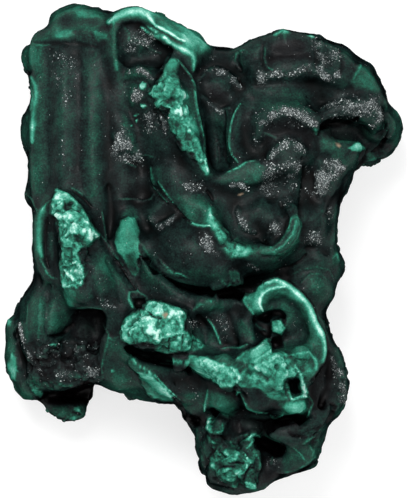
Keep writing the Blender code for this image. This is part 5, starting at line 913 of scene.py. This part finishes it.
def patch_weight(flat, corners, edge, wobble):
    """Which points lie in the patch and how much of it each gets, its edge wobbling a little."""
    outline = np.array(corners, float)
    near = within(flat, outline, edge + 0.4)
    spots = flat[near]
    inside = np.zeros(len(near), bool)
    border = np.full(len(near), 1e9)
    for start, end in zip(outline, np.roll(outline, -1, axis=0)):
        step = end - start
        border = np.minimum(border, along(spots, start, step)[1])
        if step[1]:
            crossing = start[0] + (spots[:, 1] - start[1]) * step[0] / step[1]
            inside ^= ((start[1] > spots[:, 1]) != (end[1] > spots[:, 1])) & (spots[:, 0] < crossing)
    depth = np.where(inside, border, -border) + wobble[near]
    return near, ramp(depth, -edge, edge)


class Face:
    """The marks at each point of a mesh, worked out from where it is and where it faces."""

    def __init__(self, points, normals):
        self.points = points
        self.flat = points[:, :2]
        self.wobble = clouds(points, EDGE_WOBBLE)
        self.front = ramp(normals[:, 2], -0.10, 0.15)
        self.rise = np.zeros(len(points))
        self.tone = clouds(points, SLATE_DRIFT, SLATE)
        for tone, lines, patches in LAYERS:
            self.lay(tone, lines, patches)
        self.tone += ramp(self.tone, 0.2, 0.7) * clouds(points, GREEN_DRIFT)
        for near, weight, (rise,) in self.marks(FOLDS, DOMES):
            self.rise[near] += weight * rise
        self.crumbled = self.spread([], CRUMBLED)
        self.brown = self.spread([], BROWN_PATCHES)
        self.crystals = self.spread(CRYSTAL_LINES, CRYSTAL_PATCHES) * ramp(self.tone, 0.03, 0.10)
        self.ochre = self.specks(OCHRE_SPECKS)
        self.add_sides()

    def marks(self, lines, patches):
        """Yields the points of each mark, how much of it each gets, and the mark's own values."""
        for edge, *values, corners in patches:
            yield *patch_weight(self.flat, corners, edge, self.wobble), values
        for half_width, *values, line in lines:
            yield *line_weight(self.flat, line, half_width), values

    def lay(self, tone, lines, patches):
        """Brings the marks' tone and rise to the stone."""
        for near, weight, (strength, *rise) in self.marks(lines, patches):
            self.tone[near] += weight * strength * (tone - self.tone[near])
            self.rise[near] += weight * sum(rise)

    def spread(self, lines, patches):
        """How strongly the marks cover each point, the strongest one winning."""
        field = np.zeros(len(self.points))
        for near, weight, (strength,) in self.marks(lines, patches):
            field[near] = np.maximum(field[near], weight * strength)
        return field

    def specks(self, spots):
        """Round specks with ragged edges."""
        field = np.zeros(len(self.points))
        for x, y, radius in spots:
            distance = np.linalg.norm(self.flat - (x, y), axis=1) + 0.15 * self.wobble
            field = np.maximum(field, ramp(-distance, -radius, -0.4 * radius))
        return field

    def add_sides(self):
        """The sides and the back, which no mark reaches: dark lobes with green and pale broken ground."""
        front = self.front
        for field in (self.rise, self.crystals, self.brown, self.ochre):
            field *= front
        green = ramp(clouds(self.points, SIDE_GREEN), -0.5, 0.8)
        broken = ramp(clouds(self.points, SIDE_BROKEN), 0.40, 0.90)
        side_tone = 0.10 + 0.25 * green + 0.35 * broken
        self.tone = self.tone * front + side_tone * (1 - front)
        self.crumbled = self.crumbled * front + broken * (1 - front)


# Relief: how far each point moves along its normal, in mm

def broken_relief(points):
    """Crumbling ground: facets of two sizes with gaps between them, on soft swells and ridges."""
    coarse, gap = shards(points, 1.9, 21)
    fine, fine_gap = shards(points, 0.8, 31)
    ridges = 0.5 - np.abs(cloud(points, 1.5, 61))
    rough = 0.40 * coarse - 0.12 * ramp(-gap, -0.20, 0.0) + 0.12 * fine - 0.04 * ramp(-fine_gap, -0.25, 0.0)
    return rough + clouds(points, BROKEN_SWELL) + 0.35 * ridges


def side_relief(points):
    """Lumpy ground: knobs on broad swells, with winding cracks between them."""
    drift = [clouds(points, [(1.0, 2.8, 81 + k), (0.4, 1.1, 84 + k)]) for k in range(3)]
    knobs, gap = shards(points + 1.3 * np.stack(drift, axis=1), 4.2, 51)
    deep = 0.05 + 0.30 * ramp(cloud(points, 5.0, 53), -0.4, 0.6)
    return -0.15 - deep * ramp(-gap, -0.30, 0.0) + 0.4 * knobs + clouds(points, SIDE_SWELL)


def relief(face):
    """All that moves the face: its marks, the crumbling ground, smooth swells, the crust and the sides."""
    points = face.points
    rise = RELIEF * face.rise
    broken = np.flatnonzero(face.crumbled > 0.01)
    rise[broken] += face.crumbled[broken] * broken_relief(points[broken])
    rise += clouds(points, SMOOTH_SWELL) * (1 - face.crumbled)
    rise += clouds(points, CRUST_GRAIN) * face.crystals
    rise += (1 - face.front) * side_relief(points)
    return rise * ramp(points[:, 2], *FOOT)


# Meshes

def link(name, mesh):
    obj = bpy.data.objects.new(name, mesh)
    bpy.context.scene.collection.objects.link(obj)
    return obj


def add_modifier(obj, kind, **settings):
    modifier = obj.modifiers.new(kind.lower(), kind)
    for setting, value in settings.items():
        setattr(modifier, setting, value)


def settle(obj):
    """Replaces the object's mesh by the result of its modifiers."""
    graph = bpy.context.evaluated_depsgraph_get()
    shaped = bpy.data.meshes.new_from_object(obj.evaluated_get(graph))
    obj.modifiers.clear()
    obj.data = shaped


def read_points(mesh):
    points = np.empty(len(mesh.vertices) * 3)
    mesh.vertices.foreach_get("co", points)
    return points.reshape(-1, 3)


def write_points(mesh, points):
    mesh.vertices.foreach_set("co", points.ravel())
    mesh.update()


def read_normals(mesh):
    normals = np.empty(len(mesh.vertices) * 3)
    mesh.vertex_normals.foreach_get("vector", normals)
    return normals.reshape(-1, 3)


def store(mesh, name, values):
    attribute = mesh.attributes.new(name, "FLOAT", "POINT")
    attribute.data.foreach_set("value", np.ascontiguousarray(values, dtype=np.float32))


# The stone

def group_sides(stone):
    """Groups the points of the sides, fading in from the face in steps."""
    group = stone.vertex_groups.new(name="sides")
    facing = ramp(-read_normals(stone.data)[:, 2], -0.35, 0.0)
    for step in range(1, SIDE_STEPS + 1):
        chosen = np.flatnonzero(np.round(facing * SIDE_STEPS) == step).tolist()
        group.add(chosen, step / SIDE_STEPS, "REPLACE")
    return group.name


def build_stone():
    """The dense stone in mm: the solid remeshed, smoothed, shaped by the marks and thinned."""
    stone = link("stone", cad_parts[NODE].data.copy())
    stone.data.materials.clear()
    stone.data.transform(Matrix.Scale(1 / MM, 4))
    add_modifier(stone, "REMESH", mode="VOXEL", voxel_size=GRAIN)
    settle(stone)
    for passes, group in ((SMOOTHING, ""), (SIDE_SMOOTHING, group_sides(stone))):
        add_modifier(stone, "SMOOTH", factor=0.5, iterations=passes, vertex_group=group)
    settle(stone)
    stone.vertex_groups.clear()

    points = read_points(stone.data)
    normals = read_normals(stone.data)
    rise = relief(Face(points, normals))
    write_points(stone.data, points + normals * rise[:, None])

    triangles = sum(len(polygon.vertices) - 2 for polygon in stone.data.polygons)
    add_modifier(stone, "DECIMATE", ratio=TRIANGLES / triangles, use_collapse_triangulate=True)
    settle(stone)
    return stone


def fit_to_box(obj):
    """Scales the piece to fill the solid's box exactly, and turns it to metres."""
    points = read_points(obj.data)
    low, high = points.min(axis=0), points.max(axis=0)
    points = np.array(cad_low) + (points - low) / (high - low) * (np.array(cad_high) - np.array(cad_low))
    points[:, 2] = np.where(points[:, 2] < FLAT_BELOW * MM, 0.0, points[:, 2])
    write_points(obj.data, points)


def neighbour_mean(mesh, values, passes):
    """Averages each point's value with its neighbours', a number of times."""
    ends = np.empty(len(mesh.edges) * 2, np.int32)
    mesh.edges.foreach_get("vertices", ends)
    first, second = ends.reshape(-1, 2).T
    count = len(mesh.vertices)
    valence = np.bincount(ends, minlength=count)
    for _ in range(passes):
        sums = [np.bincount(first, values[second, k], count) + np.bincount(second, values[first, k], count)
                for k in range(3)]
        values = 0.4 * values + 0.6 * np.stack(sums, axis=1) / valence[:, None]
    return values


def stand_out(mesh, points, normals, passes, full):
    """How far each point stands out of its surroundings, from -1 to 1 at the full height in mm."""
    height = ((points - neighbour_mean(mesh, points, passes)) * normals).sum(axis=1)
    return np.clip(height / full, -1, 1)


def paint(obj):
    """Keeps the marks on the mesh as attributes, which the material reads, with painted shading on top: edges
    pale, partly their own broken colour and partly painted highlight, and hollows and steep walls dark as
    painted shade.
    """
    mesh = obj.data
    points = read_points(mesh)
    normals = read_normals(mesh)
    face = Face(points, normals)
    fine = stand_out(mesh, points, normals, 3, 0.06)
    broad = stand_out(mesh, points, normals, 14, 0.20)
    wide = stand_out(mesh, points, normals, 60, 0.70)

    downward = -normals[:, 2]
    # Painted shade: steep walls of the face made darker, most where the stone is already dark
    steep_shade = ramp(downward, -0.45, -0.10) * face.front
    face.tone -= 0.10 * steep_shade * ramp(-face.tone, -0.5, -0.1)
    # Painted shading: points standing out of their surroundings painted paler as highlight, hollows painted
    # darker as shade
    shading_gain = ramp(face.tone, 0.0, 0.10) * (0.03 + 0.035 * ramp(face.tone, 0.25, 0.70))
    tone = face.tone + shading_gain * (fine + 1.4 * broad + 1.4 * wide)
    face.crystals *= ramp(clouds(points, CRYSTAL_CLUSTERS), -0.80, 0.50) * (0.6 + 0.4 * wide)

    store(mesh, "slope", ramp(downward, -0.80, -0.30))
    store(mesh, "tone", np.clip(tone, 0, 1))
    for name in ("crystals", "crumbled", "brown", "ochre"):
        store(mesh, name, getattr(face, name))
    return face


# The crystals, eight-sided, a little longer than wide

TIPS = np.array([(1, 0, 0), (-1, 0, 0), (0, 1, 0), (0, -1, 0), (0, 0, 1.3), (0, 0, -1.3)])
FACETS = np.array([(0, 2, 4), (2, 1, 4), (1, 3, 4), (3, 0, 4), (2, 0, 5), (1, 2, 5), (3, 1, 5), (0, 3, 5)])


def scatter(mesh, density, dice):
    """Random spots on the mesh, thickest where the density is highest."""
    mesh.calc_loop_triangles()
    corners = np.empty(len(mesh.loop_triangles) * 3, np.int32)
    mesh.loop_triangles.foreach_get("vertices", corners)
    corners = corners.reshape(-1, 3)
    points = read_points(mesh)
    a, b, c = (points[corners[:, k]] for k in range(3))
    area = np.linalg.norm(np.cross(b - a, c - a), axis=1)
    chance = area * density[corners].mean(axis=1) ** CROWDING
    chosen = dice.choice(len(corners), CRYSTALS, p=chance / chance.sum())
    mix = dice.random((CRYSTALS, 2))
    mix = np.where(mix.sum(axis=1, keepdims=True) > 1, 1 - mix, mix)
    return a[chosen] + mix[:, :1] * (b - a)[chosen] + mix[:, 1:] * (c - a)[chosen]


def face_outward(mesh):
    tidy = bmesh.new()
    tidy.from_mesh(mesh)
    bmesh.ops.recalc_face_normals(tidy, faces=tidy.faces)
    tidy.to_mesh(mesh)
    tidy.free()


def build_crystals(stone, face):
    """A crust of tiny crystals turned every way, most of them near the smallest size."""
    dice = np.random.default_rng(SEED)
    spots = scatter(stone.data, face.crystals, dice)
    smallest, largest = CRYSTAL_RADII
    radii = (smallest + (largest - smallest) * dice.random(CRYSTALS) ** 4) * MM
    spots = spots[spots[:, 2] < cad_high.z - HEADROOM * MM]
    radii = radii[:len(spots)]
    turns, _ = np.linalg.qr(dice.normal(size=(len(spots), 3, 3)))
    vertices = spots[:, None] + radii[:, None, None] * (TIPS @ turns)
    facets = FACETS[None] + len(TIPS) * np.arange(len(spots))[:, None, None]
    crust = bpy.data.meshes.new("crystals")
    crust.from_pydata(vertices.reshape(-1, 3).tolist(), [], facets.reshape(-1, 3).tolist())
    crust.update()
    # how far each crystal's colour is lifted towards white as a painted glint
    store(crust, "glint_paint", np.repeat(dice.random(len(spots)) ** 3, len(TIPS)))
    face_outward(crust)
    return link("crystals", crust)


# Materials

# The stone's colour by tone, from the painted shade black of cracks to the palest crumbs, and that of its
# dusky ground
TONES = [
    (0.00, (0.0006, 0.0004, 0.0004)),
    (0.15, (0.0042, 0.0094, 0.0093)),
    (0.28, (0.0085, 0.0238, 0.0200)),
    (0.40, (0.0100, 0.0465, 0.0320)),
    (0.55, (0.0170, 0.1060, 0.0710)),
    (0.70, (0.0310, 0.2250, 0.1500)),
    (0.82, (0.0880, 0.3650, 0.2680)),
    (0.92, (0.2300, 0.5450, 0.4450)),
    (1.00, (0.4800, 0.7400, 0.6500)),
]
DUSKY_TONES = [
    (0.00, (0.0016, 0.0010, 0.0012)),
    (0.15, (0.0064, 0.0062, 0.0074)),
    (0.30, (0.0145, 0.0195, 0.0195)),
]
DRUSE = (0.055, 0.068, 0.068, 1.0)
# colour of the painted glints
PAINTED_GLINT = (0.46, 0.51, 0.50, 1.0)
OCHRE = (0.26, 0.19, 0.13, 1.0)
GLINT_SIZE = 0.19  # mm
# crystal colours, from smoky to near white, the whitest a painted glint
CRYSTAL_TONES = [(0.0, (0.020, 0.028, 0.028)), (0.45, (0.13, 0.16, 0.16)), (1.0, (0.65, 0.70, 0.69))]
PAPER_TONES = [(0.3, (0.38, 0.38, 0.38)), (0.7, (0.40, 0.40, 0.40))]


class Shader:
    """A short way of wiring shader nodes."""

    def __init__(self, name):
        self.material = bpy.data.materials.new(name)
        self.material.use_nodes = True
        self.tree = self.material.node_tree
        self.surface = self.tree.nodes["Principled BSDF"]
        self.place = self.tree.nodes.new("ShaderNodeTexCoord").outputs["Object"]

    def put(self, socket, value):
        if isinstance(value, bpy.types.NodeSocket):
            self.tree.links.new(value, socket)
        else:
            socket.default_value = value

    def attribute(self, name):
        node = self.tree.nodes.new("ShaderNodeAttribute")
        node.attribute_name = name
        return node.outputs["Fac"]

    def texture(self, kind, size):
        """A texture on the object's own places, with lumps about size mm wide."""
        node = self.tree.nodes.new(kind)
        self.put(node.inputs["Vector"], self.place)
        node.inputs["Scale"].default_value = 1 / (size * MM)
        return node

    def noise(self, size, detail=4.0, roughness=0.55):
        node = self.texture("ShaderNodeTexNoise", size)
        node.inputs["Detail"].default_value = detail
        node.inputs["Roughness"].default_value = roughness
        return node.outputs["Fac"]

    def cells(self, size, output="Distance"):
        return self.texture("ShaderNodeTexVoronoi", size).outputs[output]

    def math(self, operation, *values):
        node = self.tree.nodes.new("ShaderNodeMath")
        node.operation = operation
        for socket, value in zip(node.inputs, values):
            self.put(socket, value)
        return node.outputs[0]

    def product(self, first, *others):
        for other in others:
            first = self.math("MULTIPLY", first, other)
        return first

    def swing(self, noise, amount):
        """Noise swinging about 0 instead of 0.5, times an amount."""
        return self.product(self.math("SUBTRACT", noise, 0.5), amount)

    def remap(self, value, low, high, to_low=0.0, to_high=1.0):
        node = self.tree.nodes.new("ShaderNodeMapRange")
        node.interpolation_type = "SMOOTHSTEP"
        for socket, entry in zip(node.inputs, (value, low, high, to_low, to_high)):
            self.put(socket, entry)
        return node.outputs[0]

    def blend(self, share, first, second):
        node = self.tree.nodes.new("ShaderNodeMix")
        node.data_type = "RGBA"
        self.put(node.inputs["Factor"], share)
        self.put(node.inputs["A"], first)
        self.put(node.inputs["B"], second)
        return node.outputs["Result"]

    def gradient(self, value, stops):
        node = self.tree.nodes.new("ShaderNodeValToRGB")
        self.put(node.inputs["Fac"], value)
        made = node.color_ramp.elements
        for (position, colour), stop in zip(stops, list(made) + [None] * len(stops)):
            stop = stop or made.new(position)
            stop.position = position
            stop.color = (*colour, 1.0)
        return node.outputs["Color"]

    def bump(self, height, strength, distance, normal=None):
        node = self.tree.nodes.new("ShaderNodeBump")
        self.put(node.inputs["Height"], height)
        node.inputs["Strength"].default_value = strength
        node.inputs["Distance"].default_value = distance * MM
        if normal:
            self.put(node.inputs["Normal"], normal)
        return node.outputs["Normal"]


def mottled_tone(s, crumbled, broad, middle, fine):
    """The painted tone with blotches and grain on it, the blotches stronger on crumbled ground."""
    tone = s.attribute("tone")
    mottle = s.math("ADD", s.swing(broad, s.remap(crumbled, 0, 1, 0.34, 0.80)),
                    s.swing(middle, s.remap(crumbled, 0, 1, 0.26, 0.80)))
    mottle = s.math("ADD", mottle, s.swing(fine, s.remap(tone, 0.3, 0.6, 0.60, 0.35)))
    return s.math("ADD", tone, s.product(mottle, s.remap(tone, 0.0, 0.2)))


def duskiness(s, tone):
    """How far the stone leaves green for brown and purple: where marked, and in drifts where it is dark."""
    drift = s.product(s.remap(s.noise(6.0, 3.0), 0.46, 0.64, 0.0, 0.35), s.remap(tone, 0.30, 0.16))
    return s.math("MAXIMUM", drift, s.attribute("brown"))


def painted_glints(s, tone, crystals):
    """Painted glints: bright specks laid into the colour, a few all over, many where crystals lie thick."""
    split = s.tree.nodes.new("ShaderNodeSeparateColor")
    s.put(split.inputs["Color"], s.cells(GLINT_SIZE, "Color"))
    chosen = s.math("LESS_THAN", split.outputs["Red"], s.remap(crystals, 0.0, 1.0, 0.010, 0.50))
    brightness = s.math("POWER", split.outputs["Green"], 2.0)
    spot = s.remap(s.cells(GLINT_SIZE), 0.45, 0.15)
    return s.product(chosen, brightness, spot, s.remap(tone, 0.0, 0.1))


def stone_material():
    """Malachite: dark satin lobes, banded green folds and pale, fibrous broken ground."""
    s = Shader("malachite")
    broad = s.noise(2.4, 3.0)
    middle = s.noise(0.8, 5.0, 0.6)
    fine = s.noise(0.28, 4.0, 0.6)
    crumbled = s.attribute("crumbled")
    crystals = s.attribute("crystals")
    tone = mottled_tone(s, crumbled, broad, middle, fine)

    colour = s.blend(duskiness(s, tone), s.gradient(tone, TONES), s.gradient(tone, DUSKY_TONES))
    colour = s.blend(s.product(crystals, s.remap(middle, 0.35, 0.60, 0.2, 0.8)), colour, DRUSE)
    # painted glints: bright specks blended into the base colour
    colour = s.blend(painted_glints(s, tone, crystals), colour, PAINTED_GLINT)
    colour = s.blend(s.attribute("ochre"), colour, OCHRE)
    s.put(s.surface.inputs["Base Color"], colour)

    rough = s.math("ADD", s.remap(middle, 0.3, 0.7, 0.36, 0.52), s.product(crumbled, 0.2))
    s.put(s.surface.inputs["Roughness"], rough)
    # Steep ground mirrors nothing, or the white surroundings would haze it
    s.put(s.surface.inputs["Specular IOR Level"], s.remap(s.attribute("slope"), 0.0, 1.0, 0.09, 0.0))
    s.put(s.surface.inputs["Normal"], s.bump(middle, 0.3, 0.12, s.bump(fine, 0.45, 0.06)))
    return s.material


def crystal_material():
    """Grey crystals, from smoky to bright: the brightest few are painted near white as glints, besides the
    light their facets really catch.
    """
    s = Shader("crystals")
    s.put(s.surface.inputs["Base Color"], s.gradient(s.attribute("glint_paint"), CRYSTAL_TONES))
    s.put(s.surface.inputs["Roughness"], s.remap(s.noise(0.5, 2.0), 0.3, 0.7, 0.15, 0.35))
    return s.material


def floor_material():
    """White paper, lit a little from within so that it stays white under the stone's soft shadow."""
    s = Shader("paper")
    s.put(s.surface.inputs["Base Color"], s.gradient(s.noise(14.0), PAPER_TONES))
    s.surface.inputs["Roughness"].default_value = 0.9
    s.surface.inputs["Emission Color"].default_value = (1.0, 1.0, 1.0, 1.0)
    s.surface.inputs["Emission Strength"].default_value = 0.68
    return s.material


# Studio

FLOOR_HALF = 1.5  # m
LIGHTS = [  # name, place and size in m, power in W
    ("key", (-0.10, 0.30, 0.74), 0.28, 4.6),
    ("fill", (0.35, -0.10, 0.80), 0.60, 1.4),
]
LIGHTS_AIM = Vector((0, 0, 0.02))
HORIZON, OVERHEAD = 0.25, 0.85  # how bright the surroundings are


def add_floor():
    mesh = bpy.data.meshes.new("floor")
    corners = [(-FLOOR_HALF, -FLOOR_HALF, 0), (FLOOR_HALF, -FLOOR_HALF, 0),
               (FLOOR_HALF, FLOOR_HALF, 0), (-FLOOR_HALF, FLOOR_HALF, 0)]
    mesh.from_pydata(corners, [], [(0, 1, 2, 3)])
    floor = link("floor", mesh)
    floor.data.materials.append(floor_material())


def add_light(name, place, size, power):
    """A soft square light aimed at the stone."""
    data = bpy.data.lights.new(name, "AREA")
    data.size = size
    data.energy = power
    light = link(name, data)
    light.location = place
    light.rotation_euler = (LIGHTS_AIM - Vector(place)).to_track_quat("-Z", "Y").to_euler()


def add_camera():
    """Looks straight down, so far away that the picture keeps the marks' scale."""
    data = bpy.data.cameras.new("camera")
    data.lens = LENS
    data.sensor_width = SENSOR
    camera = link("camera", data)
    reach = PICTURE_HEIGHT * SCALE * MM * LENS / SENSOR
    camera.location = (0, 0, FOCUS_HEIGHT * MM + reach)
    bpy.context.scene.camera = camera


def add_world():
    """White overhead and dimmer towards the horizon, so that steep sides stay dark."""
    world = bpy.data.worlds.new("studio")
    world.use_nodes = True
    tree = world.node_tree
    place = tree.nodes.new("ShaderNodeTexCoord")
    split = tree.nodes.new("ShaderNodeSeparateXYZ")
    height = tree.nodes.new("ShaderNodeMapRange")
    height.inputs["To Min"].default_value = HORIZON
    height.inputs["To Max"].default_value = OVERHEAD
    background = tree.nodes["Background"]
    background.inputs["Color"].default_value = (1.0, 1.0, 1.0, 1.0)
    tree.links.new(place.outputs["Generated"], split.inputs[0])
    tree.links.new(split.outputs["Z"], height.inputs["Value"])
    tree.links.new(height.outputs[0], background.inputs["Strength"])
    bpy.context.scene.world = world


stone = build_stone()
face = paint(stone)
fit_to_box(stone)
for polygon in stone.data.polygons:
    polygon.use_smooth = True
stone.data.materials.append(stone_material())
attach(stone, "root")
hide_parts(NODE)

crystals = build_crystals(stone, face)
crystals.data.materials.append(crystal_material())
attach(crystals, "root")

add_floor()
for light in LIGHTS:
    add_light(*light)
add_camera()
add_world()
bpy.context.scene.view_settings.view_transform = "Standard"
